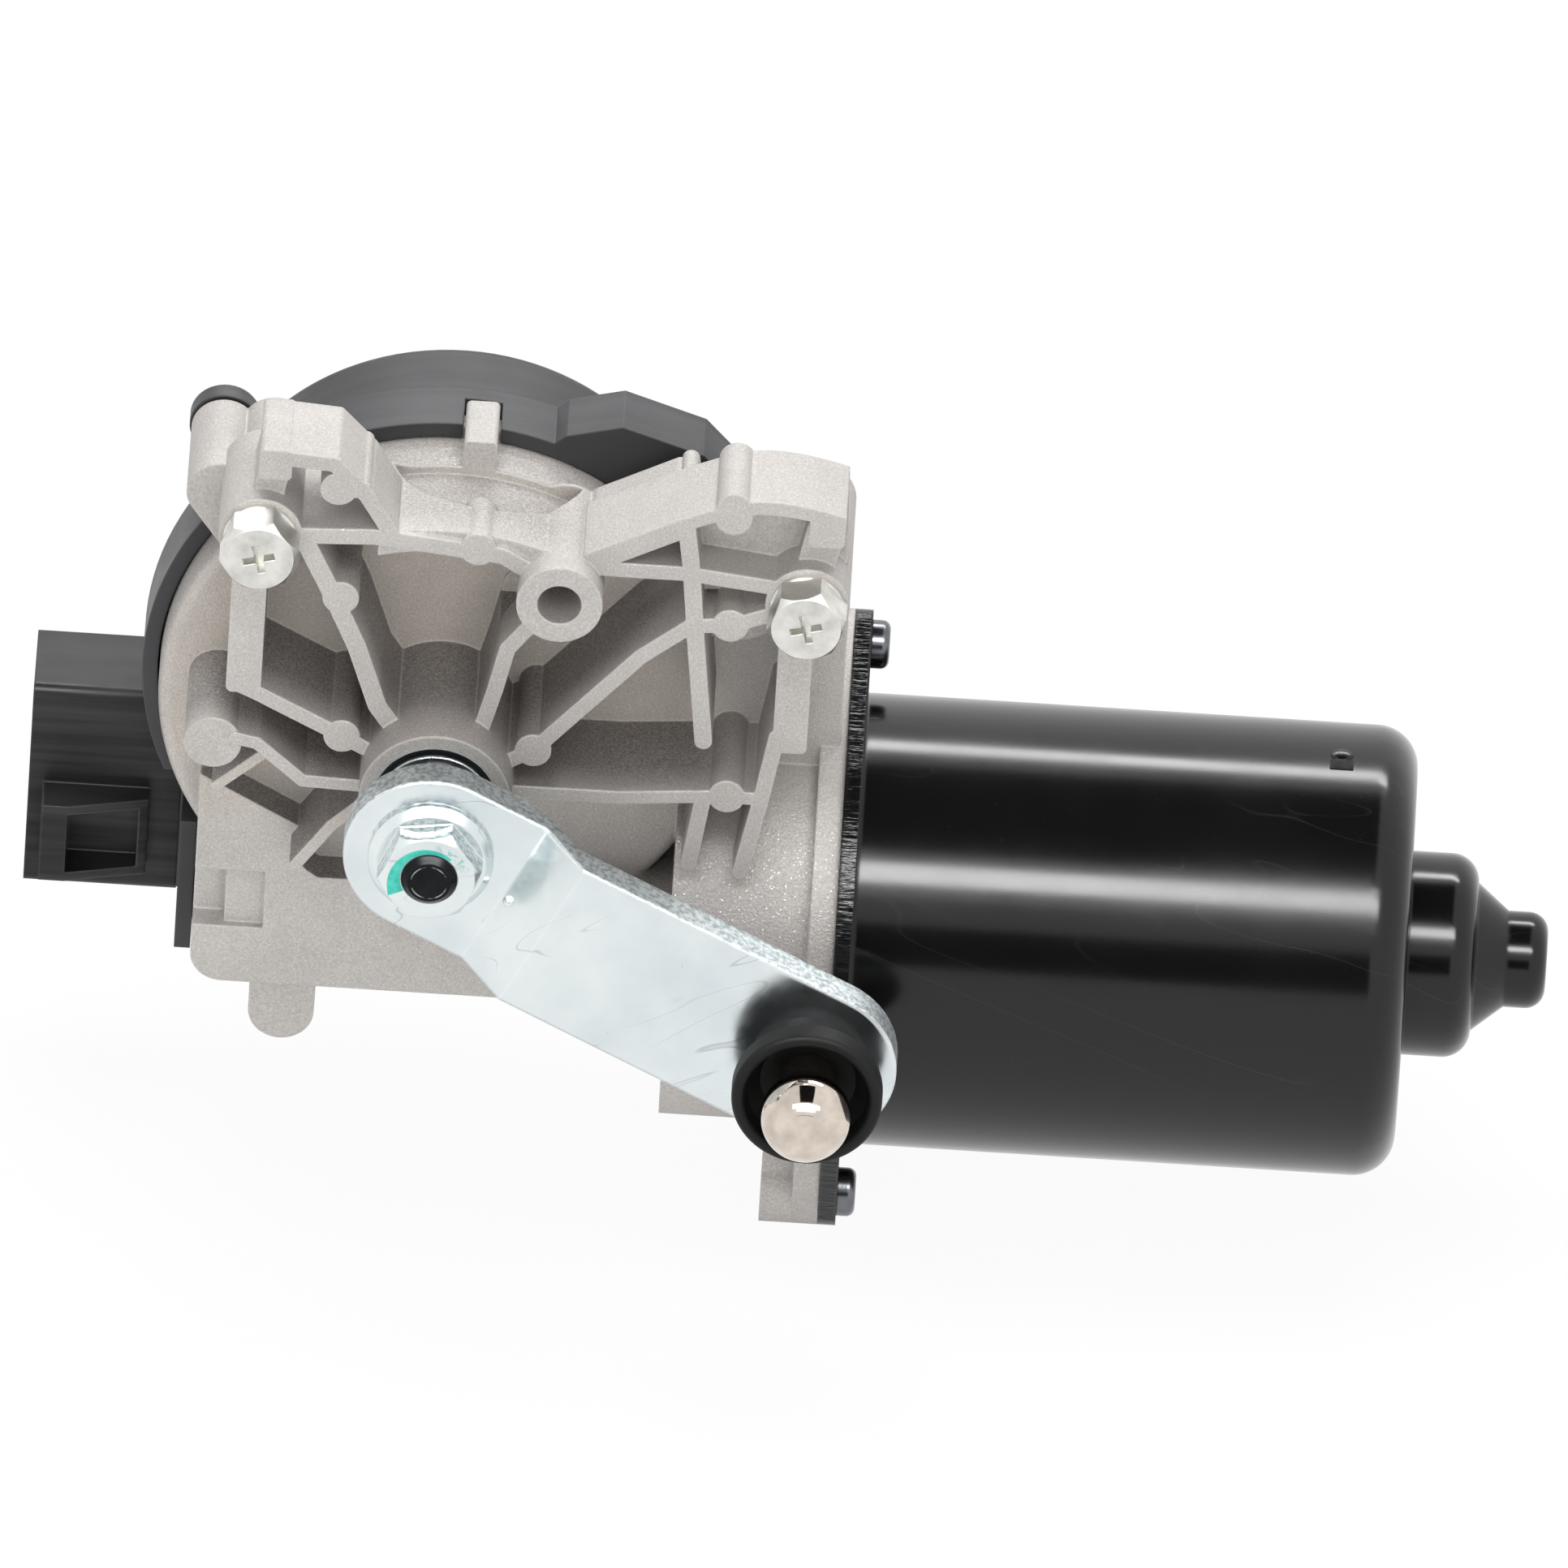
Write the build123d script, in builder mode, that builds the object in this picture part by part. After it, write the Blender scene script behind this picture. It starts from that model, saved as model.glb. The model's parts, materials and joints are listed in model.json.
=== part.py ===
from build123d import *
from math import acos, atan2, cos, degrees, hypot, pi, radians, sin, sqrt, tan
import os

os.makedirs("parts", exist_ok=True)

# A wiper gear motor in millimetres. The origin lies on the output shaft's axis, in the plane of the
# casting's rib faces. +X runs along the motor can, +Y back towards the cover and +Z up. The output
# shaft points to -Y. "Depth" below is a place on Y.

# Worm drive
gear_module = 1.0
wheel_teeth = 61
worm_pitch_radius = 4.5
addendum = 0.85
dedendum = 1.2
pressure_angle = 20.0
wheel_tooth_width = 1.35
worm_tooth_width = 1.25
wheel_width = 6.8
worm_length = 26.0
wheel_pitch_radius = gear_module * wheel_teeth / 2
worm_lead = pi * gear_module

# Motor axis
motor_depth = 25.0
motor_height = -(wheel_pitch_radius + worm_pitch_radius)

# Running clearances
bush_clearance = 0.03
fit_gap = 0.02

# Cast gear housing
rib_depth = 0.0
floor_wall = 2.3
wheel_gap = 0.3
tunnel_radius = 6.4
tunnel_wall = 1.1
cavity_front = motor_depth - wheel_width / 2 - wheel_gap
floor_depth = cavity_front - floor_wall
rim_depth = motor_depth + tunnel_radius + tunnel_wall
bowl_radius = 40.5
cavity_radius = 36.0
boss_radius = 10.9
boss_depth = -6.9
rib_width = 2.3
case_left = -33.7
case_bottom = -44.7
case_top = -26.4
case_rim_top = -18.0
case_right = 38.0
case_front = 12.0
case_depth = motor_depth - case_front
shoulder_round = 4.5
case_end_wall = 5.7
barrel_left = 34.5
barrel_radius = 29.6
chamber_left = 40.0
chamber_radius = 26.5
flange_end = 58.1
end_flange_width = 3.8
lug_length = 8.4
cover_lug_radius = 4.7
cover_lug_depth = 15.0
cover_lugs = [(-33.3, 35.9), (-20.3, -50.3), (43.5, 26.5)]
cover_lug_roots = [(-26.0, 26.0), (-20.3, -40.0), (34.0, 20.0)]
cover_lug_overhang = 0.3

# Mounting bosses on the rib plane
left_boss = (-27.0, 38.4)
right_boss = (51.2, 32.4)
screw_boss_radius = 6.0
right_root = (42.0, 24.0)
tube_boss = (16.0, 32.4)
tube_radius = 6.15
tube_hole_radius = 3.15
tube_depth = -4.0

# Output shaft, its bushes and the crank arm
shaft_radius = 5.0
output_bush_radius = 7.0
output_bush_length = 10.0
seal_radius = 8.8
seal_width = 1.6
seat_radius = 4.6
thread_radius = 4.0
arm_face = -21.7
arm_thickness = 5.0
arm_radius = 12.5
arm_centres = 62.0
arm_angle = -26.5
arm_step = 6.0
bend_start = 12.0
bend_end = 18.4
shaft_end = -28.7
nut_flange_radius = 8.95
nut_flange_width = 2.0
nut_across_flats = 13.0
nut_height = 6.0
ball_radius = 6.5
ball_stand = 13.0
ball_neck_radius = 3.9
ball_flat = 5.4
boot_radius = 10.75
boot_height = 9.0

# Motor can and armature
can_radius = 32.25
can_wall = 1.8
can_flange_width = 2.6
can_end = 139.7
can_corner = 6.0
step_radius = 14.6
step_end = 149.5
step_corner = 4.0
nose_radius = 6.9
nose_foot_radius = 10.6
nose_start = 154.0
nose_end = 159.8
nose_dimple = 2.8
ear_circle = 39.5
ear_tilt = 25.0
ear_radius = 4.9
motor_shaft_radius = 4.0
core_radius = 22.6
core_start = 76.0
core_length = 44.0
magnet_inner_radius = 23.4
magnet_start = 72.0
magnet_length = 52.0
commutator_radius = 11.0
commutator_start = 46.0
commutator_length = 14.0
slot_count = 12

# Cover, connector and park switch
gasket_thickness = 0.6
cover_flange_width = 3.0
cover_overhang = 2.5
dome_radius = 35.5
dome_height = 26.9
cover_wall = 2.2
skirt_length = 7.0
cover_front = rim_depth + gasket_thickness
cover_back_of_flange = cover_front + cover_flange_width
dome_depth = cover_front + dome_height
card_radius = 33.1
card_thickness = 2.2
card_gap = 0.2
card_ledge = 4.0
ledge_width = 2.0
connector_open = -58.4
connector_height = 33.0
connector_centre = -28.5
connector_depth = 16.6
connector_front = cover_back_of_flange + 0.3
connector_back = connector_front + connector_depth
connector_middle = (connector_front + connector_back) / 2
connector_wall = 1.8
connector_round = 1.5
connector_base = -(dome_radius + 1.0)
foot_length = 5.0
foot_margin = 4.0
socket_depth = 16.0
terminal_count = 5
terminal_pitch = 5.2
terminal_length = 10.0
terminal_thickness = 0.8
terminal_width = 2.4

# Fasteners
mount_screw_radius = 3.0
mount_screw_flats = 10.0
mount_screw_head = 5.5
mount_screw_length = 14.0
can_screw_radius = 2.0
can_screw_head_radius = 3.5
can_screw_head = 2.6
cover_screw_radius = 1.9
cover_screw_length = 11.0
cover_screw_head_radius = 3.4
cover_screw_head = 2.2

ears = []
for side in (1, -1):
    ear_y = motor_depth + side * ear_circle * sin(radians(ear_tilt))
    ear_z = motor_height + side * ear_circle * cos(radians(ear_tilt))
    ears.append((ear_y, ear_z))
motor_axis = Axis((0, motor_depth, motor_height), (1, 0, 0))
output_axis = Axis((0, 0, 0), (0, 1, 0))
motor_profile = Plane(origin=(0, motor_depth, motor_height), x_dir=(1, 0, 0), z_dir=(0, -1, 0))
output_profile = Plane(origin=(0, 0, 0), x_dir=(0, 1, 0), z_dir=(0, 0, -1))


def front(depth):
    """The plane across the output shaft at a depth, which looks at the viewer, with X and Z as its axes."""
    return Plane.XZ.offset(-depth)


def across(x):
    """The plane across the motor axis at x, with Y and Z as its axes."""
    return Plane.YZ.offset(x)


def rib(points, width, mode=Mode.ADD):
    """Adds a rib of even width with round joints to the sketch."""
    for start, end in zip(points, points[1:]):
        run = hypot(end[0] - start[0], end[1] - start[1])
        turn = degrees(atan2(end[1] - start[1], end[0] - start[0]))
        with Locations(((start[0] + end[0]) / 2, (start[1] + end[1]) / 2)):
            SlotCenterToCenter(run, width, rotation=turn, mode=mode)


def discs(places, radius, mode=Mode.ADD):
    """Adds a disc at each place."""
    with Locations(*places):
        Circle(radius, mode=mode)


def rim_outline(grow):
    """Adds the outline of the housing's rear rim, grown all round, to the sketch."""
    Circle(bowl_radius + grow)
    case_middle = ((case_left + barrel_left) / 2, (case_bottom + case_rim_top) / 2)
    with Locations(case_middle):
        Rectangle(barrel_left - case_left + 2 * grow, case_rim_top - case_bottom + 2 * grow)
    for lug, root in zip(cover_lugs, cover_lug_roots):
        rib([lug, root], 2 * (cover_lug_radius + min(grow, cover_lug_overhang)))


def eared_outline(radius, ear):
    """Adds the outline of a flange with two ears round the motor axis."""
    with Locations((motor_depth, motor_height)):
        Circle(radius)
    discs(ears, ear)
    make_hull()


# Cast gear housing
wing_depth = 7.0
wing_back = 14.0
neck_depth = 3.0
ridge_depth = 5.0
band_depth = 1.0
band_dip = 1.3
crown_block = (3.4, 42.4)
band_middle = 4.8
band_length = 30.0
lens_front = 8.0
wing_top = [(19.0, 38.6), (27.6, 43.0), (36.6, 47.2), (42.0, 49.0), (49.0, 49.0), (56.0, 47.4)]
wing_wall = 2.2
case_shoulder = [(-16.1, case_top), (-20.0, -23.9), (-18.6, -18.3), (-31.1, -11.6), (case_left, -10.2)]
window_right = -23.6
window_step = -29.2
window_top = -26.0
window_bottom = -35.5
window_shelf = 1.4
window_hole = 4.4
pads = [
    (-16.3, 46.9), (-15.1, 28.8), (-13.8, 5.7), (13.5, 5.3), (41.4, -0.4), (40.4, 28.2), (40.0, 46.0)
]
pad_radius = 2.6

with BuildPart() as gear_housing:
    # Bowl round the worm wheel
    with BuildSketch(front(rim_depth)):
        Circle(bowl_radius)
    extrude(amount=rim_depth - floor_depth)
    bowl_edge = gear_housing.edges().filter_by(GeomType.CIRCLE).sort_by(Axis.Y)[0]
    fillet(bowl_edge, 2.0)
    # Case round the worm, with a shoulder that slants up to the left post
    with BuildSketch(front(rim_depth)) as case_sketch:
        Polygon(
            (case_left, case_bottom), (case_right, case_bottom), (case_right, case_top), *case_shoulder,
            align=None,
        )
        fillet(case_sketch.vertices().sort_by_distance(case_shoulder[1])[0], shoulder_round)
    extrude(amount=rim_depth - case_depth)
    # Lugs of the cover screws
    with BuildSketch(front(rim_depth)):
        for lug, root in zip(cover_lugs, cover_lug_roots):
            rib([lug, root], 2 * cover_lug_radius)
    extrude(amount=rim_depth - cover_lug_depth)
    # Barrel over the brush chamber, its end flange and screw lugs
    with BuildSketch(across(barrel_left)):
        with Locations((motor_depth, motor_height)):
            Circle(barrel_radius)
    extrude(amount=flange_end - barrel_left)
    with BuildSketch(across(flange_end - end_flange_width)):
        eared_outline(can_radius, ear_radius)
    extrude(amount=end_flange_width)
    with BuildSketch(across(flange_end - lug_length)):
        discs(ears, ear_radius)
        for ear in ears:
            middle = ((ear[0] + motor_depth) / 2, (ear[1] + motor_height) / 2)
            turn = degrees(atan2(ear[1] - motor_height, ear[0] - motor_depth))
            with Locations(middle):
                Rectangle(ear_circle, 1.6 * ear_radius, rotation=turn)
    extrude(amount=lug_length)
    # Floor behind the right-hand ribs
    with BuildSketch(front(floor_depth + 4)):
        Polygon(
            (20, 30), (33, 40), (53, 38), (flange_end - 1, 28), (flange_end - 1, -12), (30, -12), align=None
        )
    extrude(amount=4)
    # Ribs that stand on the floor
    with BuildSketch(front(floor_depth)):
        Circle(boss_radius)
        discs(pads[1:6], pad_radius)
        discs([left_boss, right_boss], screw_boss_radius)
        discs([tube_boss], tube_radius)
        rib(
            [left_boss, (-20.8, 38.2), (-16.9, 30.5), (-12.4, 20.8), (-9.0, 11.1), (-5.8, 6.6)],
            rib_width + 0.4,
        )
        rib([(-29.4, 13.4), (-26.6, 12.2), pads[2], (-7.0, 2.0)], rib_width)
        rib([(8.0, 2.0), pads[3], (28.0, 22.1), (34.9, 27.8), pads[5], right_boss], rib_width)
        rib([(tube_boss[0] - 3, tube_boss[1] - 5), (9.0, 22.0), (7.6, 15.1), (5.7, 7.4)], rib_width)
        rib([(33.4, 44.2), (34.4, 37.5), (35.8, 24.0), (37.6, 8.6)], rib_width + 0.2)
        rib([(9.0, -1.8), (25.9, -1.7), pads[4], (46.3, -0.6)], rib_width - 0.3)
        rib([(38.0, -1.5), (36.6, -12.0)], rib_width)
        rib([(48.0, 10.0), (46.3, -0.6), (44.0, -13.0)], rib_width)
        rib([left_boss, (-11.0, 39.3), (-1.7, 38.4), (7.6, 37.4), tube_boss], rib_width + 0.2)
        rib([(-29.0, 4.2), (-25.8, 3.6), (-19.0, -2.2), (-9.0, -2.5)], rib_width - 0.4)
        rib([tube_boss, (21.0, 37.2), (32.0, 43.0)], rib_width)
        with Locations((-28.2, 24.0)):
            RectangleRounded(5.0, 24.0, 1.0)
        with Locations((49.9, 18.5)):
            RectangleRounded(4.9, 22.0, 1.0)
    extrude(amount=floor_depth - rib_depth)
    # Low ridges where the case meets the ribs
    with BuildSketch(front(floor_depth)):
        rib([(-24.4, -0.9), (-31.2, -7.0)], rib_width - 0.8)
        rib([(-8.0, -6.0), (-14.6, -12.6), (-19.4, -19.6)], rib_width - 0.6)
    extrude(amount=floor_depth - ridge_depth)
    # Raised wing to the right-hand boss, with shallow pockets
    with BuildSketch(front(wing_back)):
        with BuildLine():
            Spline(*wing_top)
            Polyline(
                wing_top[-1], (56.6, 33.0), (46.0, 31.0), (35.0, 29.5), (34.0, 35.0), (19.0, 35.0),
                wing_top[0],
            )
        make_face()
    extrude(amount=wing_back - wing_depth)
    wing_inside = [(x, z - wing_wall) for x, z in wing_top]
    with BuildSketch(front(wing_back)):
        with BuildLine():
            Spline(*wing_top)
            Line(wing_top[-1], wing_inside[-1])
            Spline(*reversed(wing_inside))
            Line(wing_inside[0], wing_top[0])
        make_face()
        rib([(20.5, 36.4), (34.2, 36.4), (46.0, 35.0)], rib_width)
        rib([pads[6], (40.0, 47.6)], 2 * pad_radius)
        with Locations((53.4, 44.7)):
            RectangleRounded(5.1, 4.9, 0.8)
    extrude(amount=wing_back - rib_depth)
    # Horn over the left-hand boss
    with BuildSketch(front(wing_back)):
        rib([(-25.4, 51.5), (-17.0, 50.9), (-12.2, 46.0), (-8.6, 40.2)], rib_width)
        rib([pads[0], (-13.0, 47.0)], pad_radius)
        discs([pads[0]], pad_radius)
        with Locations((-25.4, 50.3)):
            RectangleRounded(4.7, 4.9, 0.8)
    extrude(amount=wing_back - rib_depth)
    # Necks between the end blocks and the mounting bosses
    with BuildSketch(front(wing_back)):
        rib([left_boss, (-25.4, 49.0)], 4.4)
        rib([right_boss, (53.2, 43.4)], 5.4)
    extrude(amount=wing_back - neck_depth)
    # Columns behind the mounting bosses
    with BuildSketch(front(rim_depth)):
        rib([(-26.0, 36.5), (-22.0, 31.0)], 2 * screw_boss_radius - 2)
    extrude(amount=rim_depth - floor_depth)
    with BuildSketch(front(rim_depth - 3)):
        rib([right_boss, right_root], 2 * screw_boss_radius)
    extrude(amount=rim_depth - 3 - floor_depth + 6)
    # Left post, half-round post and the block on the bowl's crown
    with BuildSketch(front(floor_depth)):
        discs([(-32.1, 3.0)], 4.1)
    extrude(amount=floor_depth - 0.5)
    with BuildSketch(front(rim_depth - 3)):
        with Locations(crown_block):
            RectangleRounded(4.8, 5.0, 0.8)
    extrude(amount=rim_depth - 3 - wing_back)
    # Band between the bowl and the top rib, with a lens-shaped dip in its crown
    with BuildSketch(front(floor_depth)):
        Circle(bowl_radius)
        Circle(bowl_radius - 3.4, mode=Mode.SUBTRACT)
        with Locations((band_middle, bowl_radius)):
            Rectangle(band_length, 16.0, mode=Mode.INTERSECT)
    extrude(amount=floor_depth - band_depth)
    with BuildSketch(Plane.XY.offset(bowl_radius / 2)):
        with BuildLine():
            lens_start = (band_middle - band_length / 2 + 1.5, floor_depth - 0.5)
            lens_end = (band_middle + band_length / 2 - 1.5, floor_depth - 0.5)
            ThreePointArc(lens_start, (band_middle, lens_front), lens_end)
            Line(lens_end, lens_start)
        make_face()
    extrude(amount=2 * bowl_radius, mode=Mode.SUBTRACT)
    with BuildSketch(front(floor_depth)):
        Circle(bowl_radius - band_dip)
        Circle(bowl_radius - 3.4, mode=Mode.SUBTRACT)
        with Locations((band_middle, bowl_radius)):
            Rectangle(band_length, 16.0, mode=Mode.INTERSECT)
    extrude(amount=floor_depth - band_depth)
    with BuildSketch(front(lens_front + 2.0)):
        discs([(4.0, 38.3)], pad_radius)
    extrude(amount=lens_front + 2.0 - rib_depth)
    # Main boss and tube boss beyond the rib plane
    with BuildSketch(front(rib_depth + 1)):
        Circle(boss_radius)
    extrude(amount=rib_depth + 1 - boss_depth)
    with BuildSketch(front(rib_depth + 1)):
        discs([tube_boss], tube_radius)
    extrude(amount=rib_depth + 1 - tube_depth)
    # Slope on each leg under its boss
    with BuildSketch(Plane.YZ.offset(-31.5)):
        Polygon((-1, 16.5), (rib_depth + 5, 31), (rib_depth + 5, 32), (-1, 32), align=None)
    extrude(amount=6.5, mode=Mode.SUBTRACT)
    with BuildSketch(Plane.YZ.offset(47.0)):
        Polygon((-1, 12.0), (rib_depth + 5, 25), (rib_depth + 5, 26), (-1, 26), align=None)
    extrude(amount=5.8, mode=Mode.SUBTRACT)
    with BuildSketch(front(rib_depth + 6)):
        discs([left_boss, right_boss], screw_boss_radius)
    extrude(amount=6)
    # Stepped window in the worm case, open to the left
    for window_end, window_floor in ((window_right, window_shelf), (window_step, window_hole)):
        with BuildSketch(front(case_depth)):
            with Locations((case_left - 1, window_bottom)):
                Rectangle(
                    window_end - case_left + 1, window_top - window_bottom, align=(Align.MIN, Align.MIN)
                )
        extrude(amount=-window_floor, mode=Mode.SUBTRACT)
    # Wheel cavity, tunnel, brush chamber and bores
    with BuildSketch(front(rim_depth)):
        Circle(cavity_radius)
    extrude(amount=rim_depth - cavity_front, mode=Mode.SUBTRACT)
    with BuildSketch(across(case_left + case_end_wall)):
        with Locations((motor_depth, motor_height)):
            Circle(tunnel_radius)
    extrude(amount=chamber_left - case_left - case_end_wall, mode=Mode.SUBTRACT)
    with BuildSketch(across(chamber_left)):
        with Locations((motor_depth, motor_height)):
            Circle(chamber_radius)
    extrude(amount=flange_end - chamber_left, mode=Mode.SUBTRACT)
    with BuildSketch(front(boss_depth)):
        Circle(output_bush_radius)
    extrude(amount=-(cavity_front - boss_depth), mode=Mode.SUBTRACT)
    with BuildSketch(front(boss_depth)):
        Circle(seal_radius)
    extrude(amount=-seal_width, mode=Mode.SUBTRACT)
    with BuildSketch(front(tube_depth)):
        discs([tube_boss], tube_hole_radius)
    extrude(amount=-20.0, mode=Mode.SUBTRACT)
    with BuildSketch(front(rib_depth)):
        discs([left_boss, right_boss], mount_screw_radius + fit_gap)
    extrude(amount=-(mount_screw_length + 1), mode=Mode.SUBTRACT)
    with BuildSketch(across(flange_end)):
        discs(ears, can_screw_radius + fit_gap)
    extrude(amount=-(lug_length - 1), mode=Mode.SUBTRACT)
    with BuildSketch(front(rim_depth)):
        discs(cover_lugs, cover_screw_radius + fit_gap)
    extrude(amount=cover_screw_length - cover_flange_width + 1.0, mode=Mode.SUBTRACT)
gear_housing.part.label = "gear_housing"
export_step(gear_housing.part, "parts/gear_housing.step")

# Gasket and rear cover
barrel_clearance = 0.6
skirt_top = -26.0
skirt_gap = 0.3
cover_ear = [
    (13.0, 40.0), (15.5, 42.1), (23.4, 44.1), (35.2, 40.2), (40.7, 34.4), (43.5, 30.0), (36.0, 24.0)
]

with BuildPart() as cover_gasket:
    with BuildSketch(front(cover_front)):
        rim_outline(-0.6)
        Circle(cavity_radius + 0.5, mode=Mode.SUBTRACT)
        discs(cover_lugs, cover_screw_radius + fit_gap, mode=Mode.SUBTRACT)
    extrude(amount=gasket_thickness)
    with BuildSketch(across(barrel_left - 1)):
        with Locations((motor_depth, motor_height)):
            Circle(barrel_radius + barrel_clearance)
    extrude(amount=flange_end, mode=Mode.SUBTRACT)
cover_gasket.part.label = "cover_gasket"
export_step(cover_gasket.part, "parts/cover_gasket.step")

with BuildPart() as rear_cover:
    with BuildSketch(front(cover_back_of_flange)):
        rim_outline(cover_overhang)
        Polygon(*cover_ear, align=None)
        Circle(card_radius + card_gap, mode=Mode.SUBTRACT)
    extrude(amount=cover_flange_width)
    # Skirt that laps the bowl's rim, broken at the housing's lugs, columns and crown block
    with BuildSketch(front(cover_front)):
        Circle(bowl_radius + cover_overhang)
        Polygon(*cover_ear, align=None)
        Circle(bowl_radius + skirt_gap, mode=Mode.SUBTRACT)
        with Locations((0, case_rim_top)):
            Rectangle(3 * bowl_radius, 3 * bowl_radius, align=(Align.CENTER, Align.MAX), mode=Mode.SUBTRACT)
        for lug, root in zip(cover_lugs, cover_lug_roots):
            rib([lug, root], 2 * (cover_lug_radius + skirt_gap), mode=Mode.SUBTRACT)
        rib([(-26.0, 36.5), (-22.0, 31.0)], 2 * (screw_boss_radius - 1 + skirt_gap), mode=Mode.SUBTRACT)
        rib([right_boss, right_root], 2 * (screw_boss_radius + skirt_gap), mode=Mode.SUBTRACT)
        with Locations(crown_block):
            Rectangle(4.8 + 2 * skirt_gap, 6.0, mode=Mode.SUBTRACT)
    extrude(amount=skirt_length)
    with BuildSketch(front(dome_depth)):
        Circle(dome_radius)
    extrude(amount=dome_depth - cover_front)
    dome_edge = rear_cover.edges().filter_by(GeomType.CIRCLE).sort_by(Axis.Y)[-1]
    fillet(dome_edge, 2.5)
    # Skirt that laps the worm case on the left
    with BuildSketch(front(cover_front)):
        skirt_left = case_left - cover_overhang
        skirt_bottom = case_bottom - cover_overhang
        with Locations((skirt_left, skirt_bottom)):
            Rectangle(cover_overhang - 0.2, skirt_top - skirt_bottom, align=(Align.MIN, Align.MIN))
    extrude(amount=8.0)
    # Seat of the connector on the dome's left side
    with BuildSketch(front(dome_depth - 5)):
        with Locations(((connector_base - 20) / 2, connector_centre + 1.0)):
            Rectangle(-connector_base - 20, connector_height - 4)
    extrude(amount=dome_depth - 5 - cover_front)
    # Hollow of the dome, with a ledge for the contact card
    with BuildSketch(front(cover_front + card_ledge)):
        Circle(card_radius + card_gap)
    extrude(amount=card_ledge + 1.0, mode=Mode.SUBTRACT)
    with BuildSketch(front(dome_depth - cover_wall)):
        Circle(card_radius - ledge_width)
    extrude(amount=dome_depth - cover_wall - cover_front - card_ledge + 0.1, mode=Mode.SUBTRACT)
    with BuildSketch(across(barrel_left - 1)):
        with Locations((motor_depth, motor_height)):
            Circle(barrel_radius + barrel_clearance)
    extrude(amount=flange_end, mode=Mode.SUBTRACT)
    with BuildSketch(front(cover_back_of_flange)):
        discs(cover_lugs, cover_screw_radius + fit_gap)
    extrude(amount=cover_flange_width, mode=Mode.SUBTRACT)
    # Slot that the connector's foot plugs into
    with BuildSketch(across(connector_base)):
        with Locations((connector_middle, connector_centre)):
            Rectangle(connector_depth - foot_margin, connector_height - 2 * foot_margin)
    extrude(amount=foot_length, mode=Mode.SUBTRACT)
rear_cover.part.label = "rear_cover"
export_step(rear_cover.part, "parts/rear_cover.step")

# Connector with its latch loop and blade terminals
latch_left = connector_open + 2.2
latch_right = -41.0
latch_bottom = -40.3
latch_height = 12.5
latch_rise = 6.5
latch_run = 3.2
latch_bar = 3.7
latch_rail = 1.4
with BuildPart() as connector_housing:
    with BuildSketch(across(connector_open)):
        with Locations((connector_middle, connector_centre)):
            RectangleRounded(connector_depth, connector_height, connector_round)
    extrude(amount=connector_base - connector_open)
    with BuildSketch(across(connector_base)):
        with Locations((connector_middle, connector_centre)):
            Rectangle(
                connector_depth - foot_margin - 2 * fit_gap, connector_height - 2 * foot_margin - 2 * fit_gap
            )
    extrude(amount=foot_length - fit_gap)
    with BuildSketch(across(connector_open)):
        with Locations((connector_middle, connector_centre)):
            RectangleRounded(
                connector_depth - 2 * connector_wall, connector_height - 2 * connector_wall,
                connector_round / 2,
            )
    extrude(amount=socket_depth, mode=Mode.SUBTRACT)
    # Wedge-shaped latch loop on the front face
    latch_back = connector_front + 0.1
    with BuildSketch(Plane.XY.offset(latch_bottom)):
        Polygon(
            (latch_left, latch_back), (latch_left, connector_front - latch_rise),
            (latch_left + latch_bar, connector_front - latch_rise),
            (latch_right, connector_front - latch_run), (latch_right, latch_back), align=None,
        )
    extrude(amount=latch_height)
    with BuildSketch(front(connector_front)):
        with Locations((latch_left + latch_bar, latch_bottom + latch_rail)):
            Rectangle(
                latch_right - latch_rail - latch_left - latch_bar, latch_height - 2 * latch_rail,
                align=(Align.MIN, Align.MIN),
            )
    extrude(amount=latch_rise + 1, mode=Mode.SUBTRACT)
connector_housing.part.label = "connector_housing"
export_step(connector_housing.part, "parts/connector_housing.step")

terminal_root = connector_open + socket_depth
with BuildPart() as terminal_pins:
    with BuildSketch(across(terminal_root)):
        with Locations((connector_middle, connector_centre)):
            with GridLocations(1, terminal_pitch, 1, terminal_count):
                Rectangle(terminal_thickness, terminal_width)
    extrude(amount=-terminal_length)
    chamfer(terminal_pins.edges().group_by(Axis.X)[0], 0.25)
terminal_pins.part.label = "terminal_pins"
export_step(terminal_pins.part, "parts/terminal_pins.step")

# Park switch card and its three contact fingers
card_depth = cover_front + card_ledge
disc_depth = motor_depth + wheel_width / 2
disc_thickness = 0.6
disc_outer_radius = 24.0
disc_inner_radius = 11.0
disc_notch = 6.0
card_hole_radius = 6.0
finger_tip = disc_depth + disc_thickness + 0.15
card_front = card_depth - card_thickness

with BuildPart() as park_switch_card:
    with BuildSketch(front(card_depth)):
        Circle(card_radius)
        Circle(card_hole_radius, mode=Mode.SUBTRACT)
        with Locations((12, 14), (-14, 12)):
            SlotOverall(9.0, 3.0, rotation=40, mode=Mode.SUBTRACT)
    extrude(amount=card_thickness)
park_switch_card.part.label = "park_switch_card"
export_step(park_switch_card.part, "parts/park_switch_card.step")

finger_thickness = 0.4
finger_width = 3.0
with BuildPart() as park_fingers:
    for finger_height in (-4.5, 0.0, 4.5):
        with BuildSketch(Plane.XY.offset(finger_height - finger_width / 2)):
            with BuildLine():
                Polyline(
                    (27, card_front), (22, card_front), (14, finger_tip + finger_thickness),
                    (12.6, finger_tip + finger_thickness), (12.6, finger_tip), (14.2, finger_tip),
                    (22.2, card_front - finger_thickness), (27, card_front - finger_thickness), close=True,
                )
            make_face()
        extrude(amount=finger_width)
park_fingers.part.label = "park_fingers"
export_step(park_fingers.part, "parts/park_fingers.step")

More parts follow.
